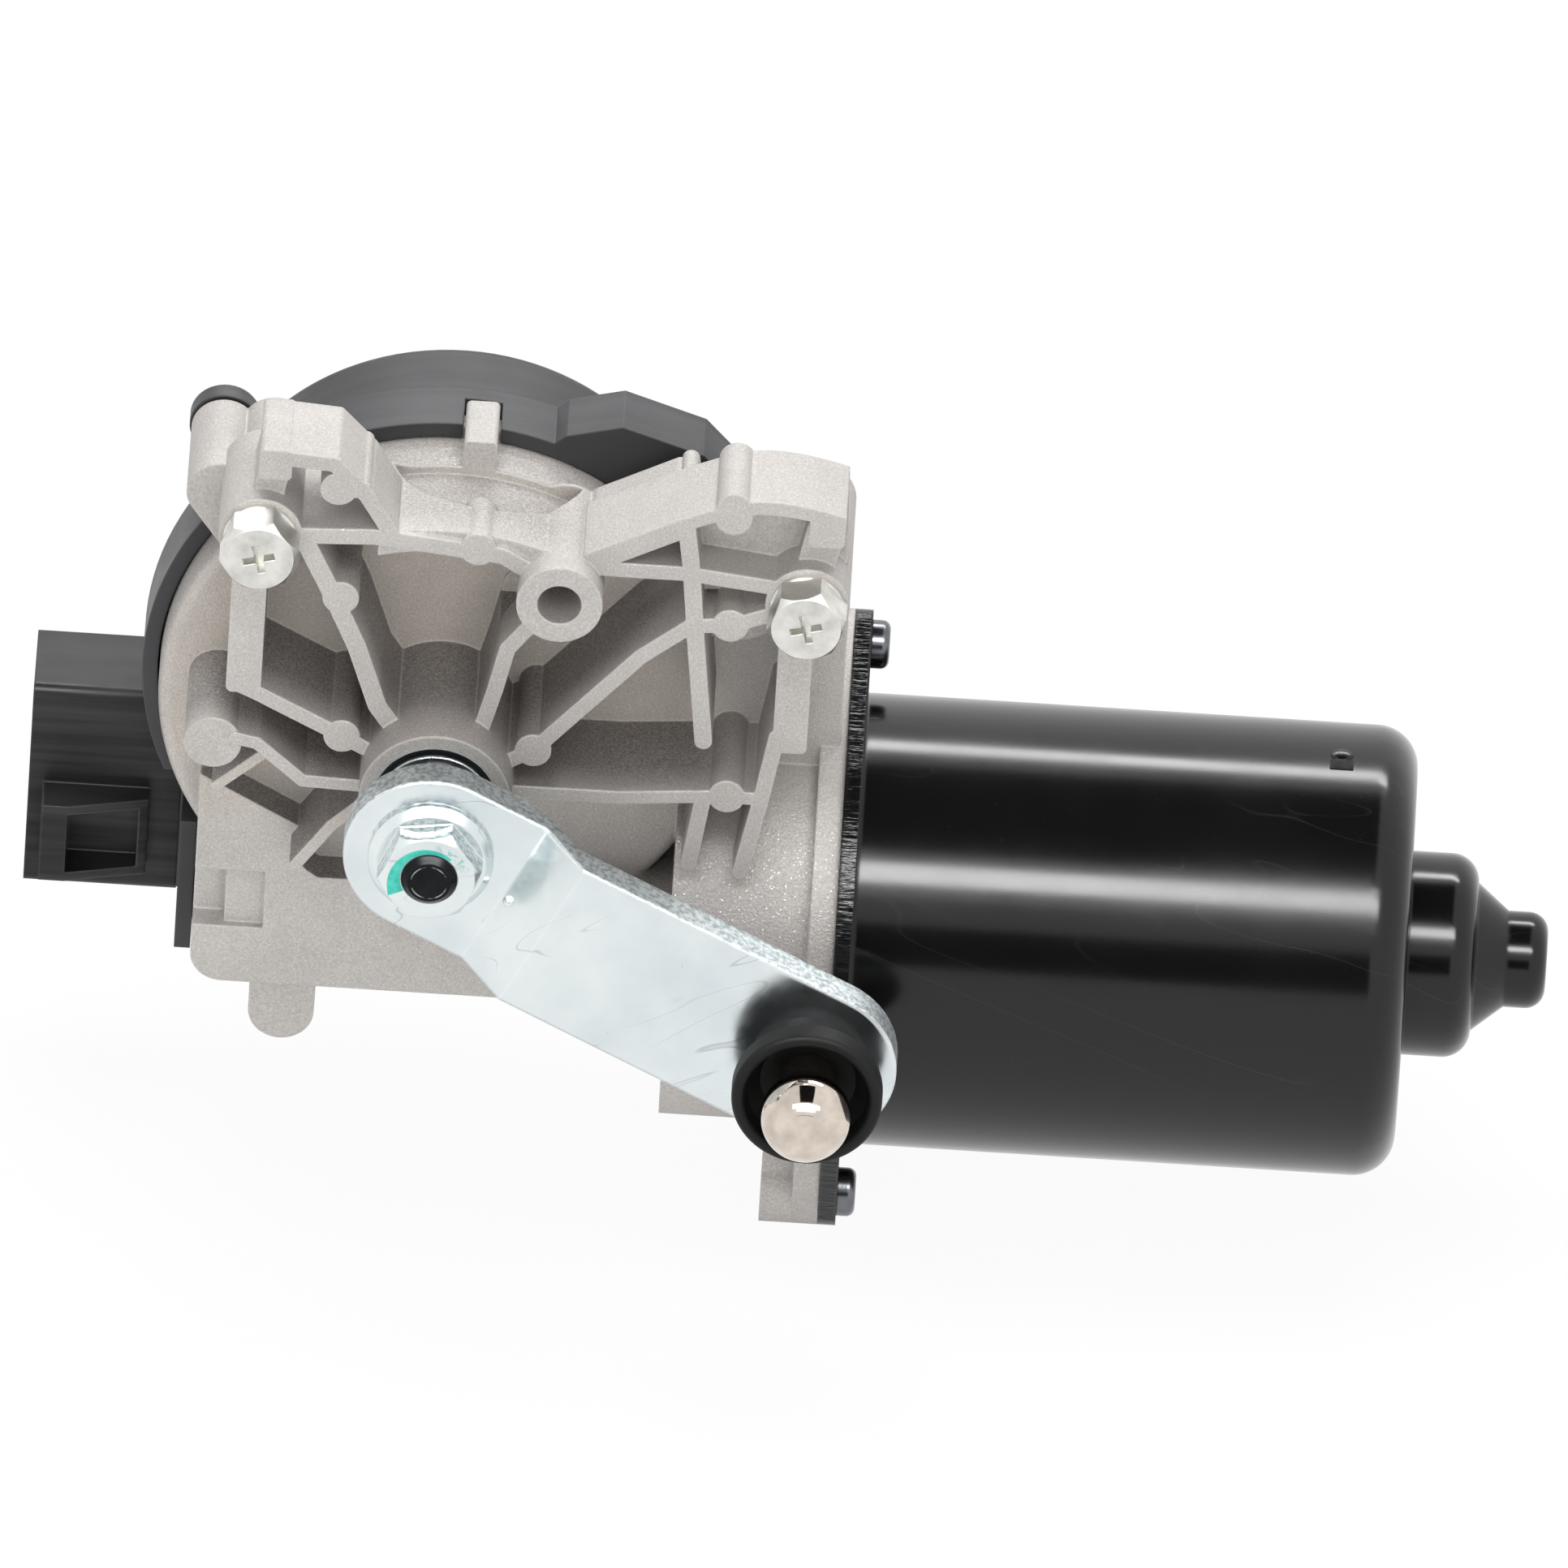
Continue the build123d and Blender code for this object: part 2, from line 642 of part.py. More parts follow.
# Deep-drawn motor can with its eared flange
can_start = flange_end + can_flange_width
step_inner = step_radius - can_wall
nose_inner = nose_radius - can_wall
with BuildPart() as motor_can:
    with BuildSketch(across(flange_end)):
        eared_outline(can_radius + 1.6, ear_radius)
    extrude(amount=can_flange_width)
    with BuildSketch(motor_profile) as can_sketch:
        with BuildLine():
            Polyline(
                (can_start - 0.1, 0), (can_start - 0.1, can_radius), (can_end, can_radius),
                (can_end, step_radius), (step_end, step_radius), (step_end, nose_foot_radius),
                (nose_start, nose_radius),
                (nose_end, nose_radius), (nose_end, 0), close=True,
            )
        make_face()
        rounded_corners = (
            ((can_end, can_radius), can_corner), ((step_end, step_radius), step_corner),
            ((nose_end, 0), nose_dimple),
        )
        for corner, corner_round in rounded_corners:
            fillet(can_sketch.vertices().sort_by_distance(corner)[0], corner_round)
    revolve(axis=motor_axis)
    with BuildSketch(motor_profile):
        with BuildLine():
            Polyline(
                (flange_end - 1, 0), (flange_end - 1, can_radius - can_wall),
                (can_end - can_corner, can_radius - can_wall), (can_end - can_wall, can_radius - can_corner),
                (can_end - can_wall, step_inner), (step_end - can_wall, step_inner),
                (step_end - can_wall, nose_inner), (nose_end - can_wall, nose_inner),
                (nose_end - can_wall, 0), close=True,
            )
        make_face()
    revolve(axis=motor_axis, mode=Mode.SUBTRACT)
    with BuildSketch(across(flange_end)):
        discs(ears, can_screw_radius + fit_gap)
    extrude(amount=can_flange_width, mode=Mode.SUBTRACT)
motor_can.part.label = "motor_can"
export_step(motor_can.part, "parts/motor_can.step")

# Two arc magnets bonded inside the can
with BuildPart() as magnets:
    with BuildSketch(across(magnet_start)):
        with Locations((motor_depth, motor_height)):
            Circle(can_radius - can_wall)
            Circle(magnet_inner_radius, mode=Mode.SUBTRACT)
            Rectangle(2 * can_radius, 22.0, mode=Mode.SUBTRACT)
    extrude(amount=magnet_length)
magnets.part.label = "magnets"
export_step(magnets.part, "parts/magnets.step")

# Bushes
bush_bore = motor_shaft_radius + bush_clearance
end_bush_start = case_left + case_end_wall
end_bush_length = 7.0
front_bush_length = 8.0
step_floor = can_end + 1.0
with BuildPart() as worm_end_bush:
    with BuildSketch(across(end_bush_start)):
        with Locations((motor_depth, motor_height)):
            Circle(tunnel_radius)
            Circle(bush_bore, mode=Mode.SUBTRACT)
    extrude(amount=end_bush_length)
worm_end_bush.part.label = "worm_end_bush"
export_step(worm_end_bush.part, "parts/worm_end_bush.step")

with BuildPart() as armature_front_bush:
    with BuildSketch(across(chamber_left - front_bush_length)):
        with Locations((motor_depth, motor_height)):
            Circle(tunnel_radius)
            Circle(bush_bore, mode=Mode.SUBTRACT)
    extrude(amount=front_bush_length)
armature_front_bush.part.label = "armature_front_bush"
export_step(armature_front_bush.part, "parts/armature_front_bush.step")

with BuildPart() as can_bush:
    with BuildSketch(across(step_floor)):
        with Locations((motor_depth, motor_height)):
            Circle(step_inner)
            Circle(bush_bore, mode=Mode.SUBTRACT)
    extrude(amount=step_end - can_wall - step_floor)
    chamfer(can_bush.edges().filter_by(GeomType.CIRCLE).group_by(Axis.X)[0].sort_by(SortBy.LENGTH)[-1], 1.0)
can_bush.part.label = "can_bush"
export_step(can_bush.part, "parts/can_bush.step")

front_bush_start = boss_depth + seal_width
output_bore = shaft_radius + bush_clearance
with BuildPart() as output_bushes:
    for bush_depth in (front_bush_start + output_bush_length, cavity_front):
        with BuildSketch(front(bush_depth)):
            Circle(output_bush_radius)
            Circle(output_bore, mode=Mode.SUBTRACT)
        extrude(amount=output_bush_length)
output_bushes.part.label = "output_bushes"
export_step(output_bushes.part, "parts/output_bushes.step")

with BuildPart() as shaft_seal:
    with BuildSketch(front(front_bush_start)):
        Circle(seal_radius)
        Circle(output_bore, mode=Mode.SUBTRACT)
    extrude(amount=seal_width - 0.2)
shaft_seal.part.label = "shaft_seal"
export_step(shaft_seal.part, "parts/shaft_seal.step")

# Thrust ball between the armature shaft and the can's nose
thrust_ball_radius = 2.5
motor_shaft_end = nose_end - can_wall - 2 * thrust_ball_radius
with BuildPart() as thrust_ball:
    with Locations((motor_shaft_end + thrust_ball_radius, motor_depth, motor_height)):
        Sphere(thrust_ball_radius - 0.02)
thrust_ball.part.label = "thrust_ball"
export_step(thrust_ball.part, "parts/thrust_ball.step")

# Brush plate, brushes and springs
brush_plate_start = chamber_left + 0.8
brush_plate_width = 2.4
brush_width = 6.0
brush_length = 9.0
brush_start = commutator_start + 3.0
brush_gap = 0.1
holder_width = brush_width + 3.0
with BuildPart() as brush_plate:
    with BuildSketch(across(brush_plate_start)):
        with Locations((motor_depth, motor_height)):
            Circle(chamber_radius - 0.02)
            Circle(motor_shaft_radius + 3.0, mode=Mode.SUBTRACT)
    extrude(amount=brush_plate_width)
    # Channels that guide the brushes
    with BuildSketch(across(brush_plate_start + brush_plate_width)):
        with Locations((motor_depth, motor_height)):
            for side in (1, -1):
                with Locations((side * (commutator_radius + 8.0), 0)):
                    Rectangle(10.0, holder_width)
    extrude(amount=brush_start + brush_width + 1.0 - brush_plate_start - brush_plate_width)
    with BuildSketch(across(brush_start - fit_gap)):
        with Locations((motor_depth, motor_height)):
            Rectangle(2 * chamber_radius + 10, brush_width + 2 * fit_gap)
    extrude(amount=brush_width + 2 * fit_gap, mode=Mode.SUBTRACT)
brush_plate.part.label = "brush_plate"
export_step(brush_plate.part, "parts/brush_plate.step")

with BuildPart() as brushes:
    with BuildSketch(across(brush_start)):
        with Locations((motor_depth, motor_height)):
            for side in (1, -1):
                with Locations((side * (commutator_radius + brush_gap + brush_length / 2), 0)):
                    Rectangle(brush_length, brush_width)
    extrude(amount=brush_width)
    with BuildSketch(across(brush_start)):
        with Locations((motor_depth, motor_height)):
            Circle(commutator_radius + brush_gap)
    extrude(amount=brush_width, mode=Mode.SUBTRACT)
brushes.part.label = "brushes"
export_step(brushes.part, "parts/brushes.step")

spring_start = commutator_radius + brush_gap + brush_length
spring_radius = 2.4
spring_wall = 0.9
with BuildPart() as brush_springs:
    for side in (1, -1):
        spring_base = motor_depth + side * spring_start
        spring_plane = Plane(
            origin=(brush_start + brush_width / 2, spring_base, motor_height), z_dir=(0, side, 0)
        )
        with BuildSketch(spring_plane):
            Circle(spring_radius)
            Circle(spring_radius - spring_wall, mode=Mode.SUBTRACT)
        extrude(amount=chamber_radius - spring_start - 0.1)
brush_springs.part.label = "brush_springs"
export_step(brush_springs.part, "parts/brush_springs.step")

# Armature shaft with its worm
worm_root_radius = worm_pitch_radius - dedendum
worm_tip_radius = worm_pitch_radius + addendum
worm_start = -worm_length / 2
flank = tan(radians(pressure_angle))


def worm_half_width(radius):
    """Half the thread's width along the axis at a radius."""
    return worm_tooth_width / 2 - (radius - worm_pitch_radius) * flank


def thread_point(radius, side, centre_angle):
    """A point of the thread's cross section, at the angle that its width takes up."""
    angle = centre_angle + side * 2 * pi * worm_half_width(radius) / worm_lead
    return (radius * cos(angle), radius * sin(angle))


shaft_start = end_bush_start + 0.2
turns = worm_length / worm_lead
mesh_angle = pi / 2 - 2 * pi * (0 - worm_start) / worm_lead

worm_foot = (worm_start, motor_depth, motor_height)
with BuildSketch(Plane(origin=worm_foot, x_dir=(0, 1, 0), z_dir=(1, 0, 0))) as thread_section:
    with BuildLine():
        flank_radii = (worm_root_radius, worm_pitch_radius, worm_tip_radius)
        rising = [thread_point(radius, -1, mesh_angle) for radius in flank_radii]
        falling = [thread_point(radius, 1, mesh_angle) for radius in reversed(flank_radii)]
        crown = (worm_tip_radius * cos(mesh_angle), worm_tip_radius * sin(mesh_angle))
        valley = (-worm_root_radius * cos(mesh_angle), -worm_root_radius * sin(mesh_angle))
        ThreePointArc(*rising)
        ThreePointArc(rising[2], crown, falling[0])
        ThreePointArc(*falling)
        ThreePointArc(falling[2], valley, rising[0])
    make_face()

with BuildPart() as armature_shaft:
    # The thread's cross section, twisted once for each lead
    add(Solid.extrude_linear_with_rotation(
        thread_section.sketch.faces()[0], worm_foot, (worm_length, 0, 0), 360 * turns
    ))
    with BuildSketch(motor_profile):
        with BuildLine():
            Polyline(
                (shaft_start, 0), (shaft_start, motor_shaft_radius - 0.5),
                (shaft_start + 0.5, motor_shaft_radius), (worm_start - 1.6, motor_shaft_radius),
                (worm_start, worm_root_radius), (worm_start, 0), close=True,
            )
        make_face()
    revolve(axis=motor_axis)
    with BuildSketch(motor_profile):
        with BuildLine():
            Polyline(
                (-worm_start, 0), (-worm_start, worm_root_radius), (-worm_start + 1.6, motor_shaft_radius),
                (motor_shaft_end - 0.5, motor_shaft_radius), (motor_shaft_end, motor_shaft_radius - 0.5),
                (motor_shaft_end, 0), close=True,
            )
        make_face()
    revolve(axis=motor_axis)
armature_shaft.part.label = "armature_shaft"
export_step(armature_shaft.part, "parts/armature_shaft.step")

# Slotted core, windings and commutator
with BuildPart() as armature_core:
    with BuildSketch(across(core_start)):
        with Locations((motor_depth, motor_height)):
            Circle(core_radius)
            Circle(motor_shaft_radius, mode=Mode.SUBTRACT)
            with PolarLocations(core_radius - 5.5, slot_count):
                Rectangle(13.0, 3.0, mode=Mode.SUBTRACT)
    extrude(amount=core_length)
armature_core.part.label = "armature_core"
export_step(armature_core.part, "parts/armature_core.step")

winding_radius = core_radius - 1.6
winding_overhang = 8.0
with BuildPart() as armature_windings:
    with BuildSketch(across(core_start)):
        with Locations((motor_depth, motor_height)):
            with PolarLocations(core_radius - 6.5, slot_count):
                Rectangle(9.0, 3.0)
    extrude(amount=core_length)
    for bundle_start in (core_start - winding_overhang, core_start + core_length):
        with BuildSketch(across(bundle_start)):
            with Locations((motor_depth, motor_height)):
                Circle(winding_radius)
                Circle(motor_shaft_radius + 1.5, mode=Mode.SUBTRACT)
        extrude(amount=winding_overhang)
armature_windings.part.label = "armature_windings"
export_step(armature_windings.part, "parts/armature_windings.step")

with BuildPart() as commutator:
    with BuildSketch(across(commutator_start)):
        with Locations((motor_depth, motor_height)):
            Circle(commutator_radius)
            Circle(motor_shaft_radius, mode=Mode.SUBTRACT)
            with PolarLocations(commutator_radius, slot_count):
                Rectangle(2.4, 0.5, mode=Mode.SUBTRACT)
    extrude(amount=commutator_length)
    with BuildSketch(across(commutator_start + commutator_length)):
        with Locations((motor_depth, motor_height)):
            Circle(commutator_radius + 2.0)
            Circle(motor_shaft_radius, mode=Mode.SUBTRACT)
    extrude(amount=core_start - winding_overhang - commutator_start - commutator_length)
commutator.part.label = "commutator"
export_step(commutator.part, "parts/commutator.step")

# Output shaft
ring_groove = boss_depth - 1.2
ring_thickness = 1.0
groove_radius = shaft_radius - 0.5
shaft_back = motor_depth + wheel_width / 2 + 1.6
arm_back = arm_face + arm_thickness
with BuildPart() as output_shaft:
    with BuildSketch(output_profile):
        with BuildLine():
            Polyline(
                (shaft_back, 0), (shaft_back, shaft_radius), (ring_groove, shaft_radius),
                (ring_groove, groove_radius), (ring_groove - ring_thickness, groove_radius),
                (ring_groove - ring_thickness, shaft_radius), (arm_back, shaft_radius),
                (arm_back, seat_radius), (arm_face, seat_radius), (arm_face, thread_radius),
                (shaft_end + 0.9, thread_radius),
                (shaft_end, thread_radius - 0.9), (shaft_end, 0), close=True,
            )
        make_face()
    revolve(axis=output_axis)
output_shaft.part.label = "output_shaft"
export_step(output_shaft.part, "parts/output_shaft.step")

with BuildPart() as thrust_washer:
    with BuildSketch(front(boss_depth - 0.3)):
        Circle(seal_radius - 0.6)
        Circle(shaft_radius, mode=Mode.SUBTRACT)
    extrude(amount=boss_depth - 0.3 - ring_groove)
thrust_washer.part.label = "thrust_washer"
export_step(thrust_washer.part, "parts/thrust_washer.step")

with BuildPart() as retaining_ring:
    with BuildSketch(front(ring_groove)):
        Circle(shaft_radius + 1.8)
        Circle(groove_radius, mode=Mode.SUBTRACT)
        with Locations((0, -shaft_radius)):
            Rectangle(4.0, 6.0, mode=Mode.SUBTRACT)
    extrude(amount=ring_thickness)
retaining_ring.part.label = "retaining_ring"
export_step(retaining_ring.part, "parts/retaining_ring.step")

# Helical worm wheel
wheel_tip_radius = wheel_pitch_radius + addendum
wheel_root_radius = wheel_pitch_radius - dedendum
wheel_back = motor_depth + wheel_width / 2
base_radius = wheel_pitch_radius * cos(radians(pressure_angle))
lead_angle = atan2(worm_lead, 2 * pi * worm_pitch_radius)
helix_turn = degrees(wheel_width * tan(lead_angle) / wheel_pitch_radius)


def involute(radius):
    """The involute function at a radius of the wheel's tooth."""
    slope = acos(min(1.0, base_radius / radius))
    return tan(slope) - slope


def tooth_half_angle(radius):
    """Half the angle that a tooth takes up at a radius."""
    return wheel_tooth_width / 2 / wheel_pitch_radius + involute(wheel_pitch_radius) - involute(radius)


def wheel_outline(turn):
    """The wheel's outline, turned by an angle in degrees, with a gap at its lowest point."""
    points = []
    for tooth in range(wheel_teeth):
        middle = -pi / 2 + 2 * pi * (tooth + 0.5) / wheel_teeth + radians(turn)
        for radius, side in ((wheel_root_radius, -1), (wheel_tip_radius, -1), (wheel_tip_radius, 1),
                             (wheel_root_radius, 1)):
            angle = middle + side * tooth_half_angle(radius)
            points.append((radius * cos(angle), radius * sin(angle)))
    return points


web_width = 3.0
wheel_rim_radius = wheel_root_radius - 3.0
wheel_hub_radius = 10.0
with BuildPart() as worm_wheel:
    with BuildSketch(front(wheel_back)):
        with BuildLine():
            Polyline(*wheel_outline(-helix_turn / 2), close=True)
        make_face()
    with BuildSketch(front(wheel_back - wheel_width)):
        with BuildLine():
            Polyline(*wheel_outline(helix_turn / 2), close=True)
        make_face()
    loft(ruled=True)
    with BuildSketch(front(wheel_back - wheel_width)):
        Circle(wheel_rim_radius)
        Circle(wheel_hub_radius, mode=Mode.SUBTRACT)
    extrude(amount=-(wheel_width - web_width), mode=Mode.SUBTRACT)
    with BuildSketch(front(wheel_back - wheel_width)):
        with PolarLocations((wheel_rim_radius + wheel_hub_radius) / 2, 6):
            Rectangle(wheel_rim_radius - wheel_hub_radius + 1.0, 2.0)
    extrude(amount=-(wheel_width - web_width))
    with BuildSketch(front(wheel_back)):
        Circle(shaft_radius)
    extrude(amount=wheel_width, mode=Mode.SUBTRACT)
worm_wheel.part.label = "worm_wheel"
export_step(worm_wheel.part, "parts/worm_wheel.step")

with BuildPart() as park_disc:
    with BuildSketch(front(wheel_back + disc_thickness)):
        Circle(disc_outer_radius)
        Circle(disc_inner_radius, mode=Mode.SUBTRACT)
        with Locations((0, disc_inner_radius + 8.0)):
            Rectangle(10.0, disc_notch, mode=Mode.SUBTRACT)
    extrude(amount=disc_thickness)
park_disc.part.label = "park_disc"
export_step(park_disc.part, "parts/park_disc.step")

# Crank arm with its joggle
arm_end = (arm_centres * cos(radians(arm_angle)), arm_centres * sin(radians(arm_angle)))
arm_direction = (cos(radians(arm_angle)), 0, sin(radians(arm_angle)))
arm_normal = (-arm_direction[2], 0, arm_direction[0])
arm_side = Plane(origin=(0, 0, 0), x_dir=arm_direction, z_dir=arm_normal)
tip_face = arm_face - arm_step
tip_back = tip_face + arm_thickness
with BuildPart() as crank_arm:
    with BuildSketch(front(arm_back + 1)):
        Circle(arm_radius)
        discs([arm_end], arm_radius)
        make_hull()
    extrude(amount=arm_step + arm_thickness + 2)
    with BuildSketch(arm_side.offset(-arm_radius - 1)):
        with BuildLine():
            Polyline(
                (-arm_radius - 1, arm_back), (bend_start - 1.5, arm_back), (bend_end - 1.5, tip_back),
                (arm_centres + arm_radius + 1, tip_back), (arm_centres + arm_radius + 1, tip_face),
                (bend_end, tip_face), (bend_start, arm_face), (-arm_radius - 1, arm_face), close=True,
            )
        make_face()
    extrude(amount=2 * arm_radius + 2, mode=Mode.INTERSECT)
    with BuildSketch(front(arm_back)):
        Circle(seat_radius)
        discs([arm_end], ball_neck_radius)
    extrude(amount=arm_step + arm_thickness + 1, mode=Mode.SUBTRACT)
crank_arm.part.label = "crank_arm"
export_step(crank_arm.part, "parts/crank_arm.step")

# Flange nut on the shaft's thread
with BuildPart() as crank_nut:
    with BuildSketch(front(arm_face)):
        Circle(nut_flange_radius)
    extrude(amount=nut_flange_width)
    chamfer(crank_nut.edges().filter_by(GeomType.CIRCLE).sort_by(Axis.Y)[0], 1.1)
    with BuildSketch(front(arm_face - 0.5)):
        RegularPolygon(nut_across_flats / 2, 6, major_radius=False, rotation=8)
    extrude(amount=nut_height - 0.5)
    with BuildSketch(output_profile):
        with BuildLine():
            Polyline(
                (arm_face - nut_height + 1.1, nut_across_flats / 2 * 1.16),
                (arm_face - nut_height - 0.1, nut_across_flats / 2 * 0.97),
                (arm_face - nut_height - 0.1, nut_across_flats / 2 * 1.3),
                (arm_face - nut_height + 1.1, nut_across_flats / 2 * 1.3), close=True,
            )
        make_face()
    revolve(axis=output_axis, mode=Mode.SUBTRACT)
    with BuildSketch(front(arm_face)):
        Circle(thread_radius)
    extrude(amount=nut_height + 1, mode=Mode.SUBTRACT)
crank_nut.part.label = "crank_nut"
export_step(crank_nut.part, "parts/crank_nut.step")

# Ball stud riveted through the arm, and its rubber boot
ball_centre = tip_face - ball_stand
rivet_radius = 6.0
rivet_height = 1.6
rivet_chamfer = 0.6
stud_profile = Plane(origin=(arm_end[0], 0, arm_end[1]), x_dir=(0, 1, 0), z_dir=(0, 0, -1))
stud_axis = Axis((arm_end[0], 0, arm_end[1]), (0, 1, 0))
neck_run = sqrt(ball_radius ** 2 - ball_neck_radius ** 2)
flat_radius = sqrt(ball_radius ** 2 - ball_flat ** 2)
with BuildPart() as ball_stud:
    with BuildSketch(stud_profile):
        with BuildLine():
            Polyline(
                (ball_centre - ball_flat, flat_radius), (ball_centre - ball_flat, 0),
                (tip_back + rivet_height, 0), (tip_back + rivet_height, rivet_radius - rivet_chamfer),
                (tip_back + rivet_height - rivet_chamfer, rivet_radius), (tip_back, rivet_radius),
                (tip_back, ball_neck_radius), (ball_centre + neck_run, ball_neck_radius),
            )
            ThreePointArc(
                (ball_centre + neck_run, ball_neck_radius), (ball_centre, ball_radius),
                (ball_centre - ball_flat, flat_radius),
            )
        make_face()
    revolve(axis=stud_axis)
ball_stud.part.label = "ball_stud"
export_step(ball_stud.part, "parts/ball_stud.step")

boot_wall = 1.8
boot_base_radius = 8.6
with BuildPart() as ball_boot:
    with BuildSketch(stud_profile):
        with BuildLine():
            Polyline(
                (tip_face, ball_neck_radius), (tip_face, boot_base_radius),
                (tip_face - 3.0, boot_base_radius - 0.4), (tip_face - 5.4, boot_radius),
                (tip_face - boot_height, boot_radius), (tip_face - boot_height, boot_radius - boot_wall),
                (tip_face - 5.8, boot_radius - boot_wall - 0.4),
                (tip_face - 3.2, boot_base_radius - boot_wall), (tip_face - 2.0, ball_neck_radius),
                close=True,
            )
        make_face()
    revolve(axis=stud_axis)
    fillet(ball_boot.edges().filter_by(GeomType.CIRCLE).group_by(Axis.Y)[0], 0.9)
ball_boot.part.label = "ball_boot"
export_step(ball_boot.part, "parts/ball_boot.step")

# Hexagon mounting screws with a captive washer and a cross recess
washer_radius = screw_boss_radius - 0.7
washer_thickness = 1.0
head_circle = 4.6
head_chamfer = 1.5
cross_length = 4.6
cross_width = 1.1
cross_depth = 2.2
with BuildPart() as mounting_screws:
    for place in (left_boss, right_boss):
        with BuildSketch(front(rib_depth)):
            discs([place], washer_radius)
        extrude(amount=washer_thickness)
        with BuildSketch(front(rib_depth - washer_thickness)):
            with Locations(place):
                RegularPolygon(mount_screw_flats / 2, 6, major_radius=False, rotation=12)
        extrude(amount=mount_screw_head)
        head_profile = Plane(origin=(place[0], 0, place[1]), x_dir=(0, 1, 0), z_dir=(0, 0, -1))
        head_front = rib_depth - washer_thickness - mount_screw_head
        with BuildSketch(head_profile):
            Polygon(
                (head_front - 1, head_circle - 0.4), (head_front + head_chamfer, mount_screw_flats * 0.6),
                (head_front - 1, mount_screw_flats * 0.6), align=None,
            )
        revolve(axis=Axis((place[0], 0, place[1]), (0, 1, 0)), mode=Mode.SUBTRACT)
        with BuildSketch(front(rib_depth)):
            discs([place], mount_screw_radius)
        extrude(amount=-mount_screw_length)
        with BuildSketch(front(rib_depth - washer_thickness - mount_screw_head)):
            with Locations(place):
                Rectangle(cross_length, cross_width, rotation=16)
                Rectangle(cross_width, cross_length, rotation=16)
        extrude(amount=-cross_depth, mode=Mode.SUBTRACT)
mounting_screws.part.label = "mounting_screws"
export_step(mounting_screws.part, "parts/mounting_screws.step")

with BuildPart() as can_screws:
    with BuildSketch(across(can_start)):
        discs(ears, can_screw_head_radius)
    extrude(amount=can_screw_head)
    fillet(can_screws.edges().filter_by(GeomType.CIRCLE).group_by(Axis.X)[-1], 1.2)
    with BuildSketch(across(can_start)):
        discs(ears, can_screw_radius)
    extrude(amount=-(lug_length - 1.5))
    with BuildSketch(across(can_start + can_screw_head)):
        with Locations(*ears):
            Rectangle(3.6, 0.8)
            Rectangle(0.8, 3.6)
    extrude(amount=-1.2, mode=Mode.SUBTRACT)
can_screws.part.label = "can_screws"
export_step(can_screws.part, "parts/can_screws.step")

with BuildPart() as cover_screws:
    with BuildSketch(front(cover_back_of_flange)):
        discs(cover_lugs, cover_screw_head_radius)
    extrude(amount=-cover_screw_head)
    fillet(cover_screws.edges().filter_by(GeomType.CIRCLE).group_by(Axis.Y)[-1], 1.0)
    with BuildSketch(front(cover_back_of_flange)):
        discs(cover_lugs, cover_screw_radius)
    extrude(amount=cover_screw_length)
    with BuildSketch(front(cover_back_of_flange + cover_screw_head)):
        with Locations(*cover_lugs):
            Rectangle(3.4, 0.8)
            Rectangle(0.8, 3.4)
    extrude(amount=1.0, mode=Mode.SUBTRACT)
cover_screws.part.label = "cover_screws"
export_step(cover_screws.part, "parts/cover_screws.step")
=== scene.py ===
import json
from math import cos, pi, radians, sin, tan

import bpy
from mathutils import Matrix, Vector


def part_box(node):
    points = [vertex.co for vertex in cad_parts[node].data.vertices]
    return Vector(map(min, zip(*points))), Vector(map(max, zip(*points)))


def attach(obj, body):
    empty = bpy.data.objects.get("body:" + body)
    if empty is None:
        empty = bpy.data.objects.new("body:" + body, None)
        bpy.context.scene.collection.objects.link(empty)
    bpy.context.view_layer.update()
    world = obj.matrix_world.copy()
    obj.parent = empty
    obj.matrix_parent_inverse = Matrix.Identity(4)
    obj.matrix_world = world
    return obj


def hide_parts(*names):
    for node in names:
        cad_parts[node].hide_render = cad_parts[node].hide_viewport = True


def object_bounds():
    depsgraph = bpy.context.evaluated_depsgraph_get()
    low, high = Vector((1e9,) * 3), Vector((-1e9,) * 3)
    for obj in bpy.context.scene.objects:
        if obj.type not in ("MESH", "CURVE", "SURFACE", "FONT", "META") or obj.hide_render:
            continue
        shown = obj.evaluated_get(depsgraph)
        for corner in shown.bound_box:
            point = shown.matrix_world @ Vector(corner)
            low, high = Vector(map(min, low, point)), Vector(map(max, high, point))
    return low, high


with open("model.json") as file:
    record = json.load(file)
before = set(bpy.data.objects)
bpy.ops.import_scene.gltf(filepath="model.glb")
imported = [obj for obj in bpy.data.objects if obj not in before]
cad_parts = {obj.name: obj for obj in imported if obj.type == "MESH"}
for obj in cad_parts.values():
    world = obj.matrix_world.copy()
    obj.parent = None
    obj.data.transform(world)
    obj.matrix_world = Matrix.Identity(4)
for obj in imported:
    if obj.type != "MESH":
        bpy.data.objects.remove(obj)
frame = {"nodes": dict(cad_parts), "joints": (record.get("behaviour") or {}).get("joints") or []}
frame_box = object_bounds()

bl_info = {
    "name": "Wiper Motor Dressing",
    "version": (1, 0, 0),
    "blender": (4, 5, 0),
    "location": "View3D > Sidebar > Wiper Motor",
    "description": "Finishes and small pieces of a cast wiper gear motor",
    "category": "Object",
}

MM = 0.001
nodes = frame["nodes"]

# Places on the motor, in metres: the output shaft's axis is the Y axis through the origin
nut_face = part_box("crank_nut")[0].y
can_low, can_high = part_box("motor_can")
can_radius = 32.25 * MM
motor_axis = Vector(next(joint["pos_m"] for joint in frame["joints"] if joint["name"] == "armature_spin"))

# Faces that meet at less than these angles are shaded as one, or joined into one
SMOOTH_ANGLE = radians(35)
FLAT_ANGLE = radians(0.3)

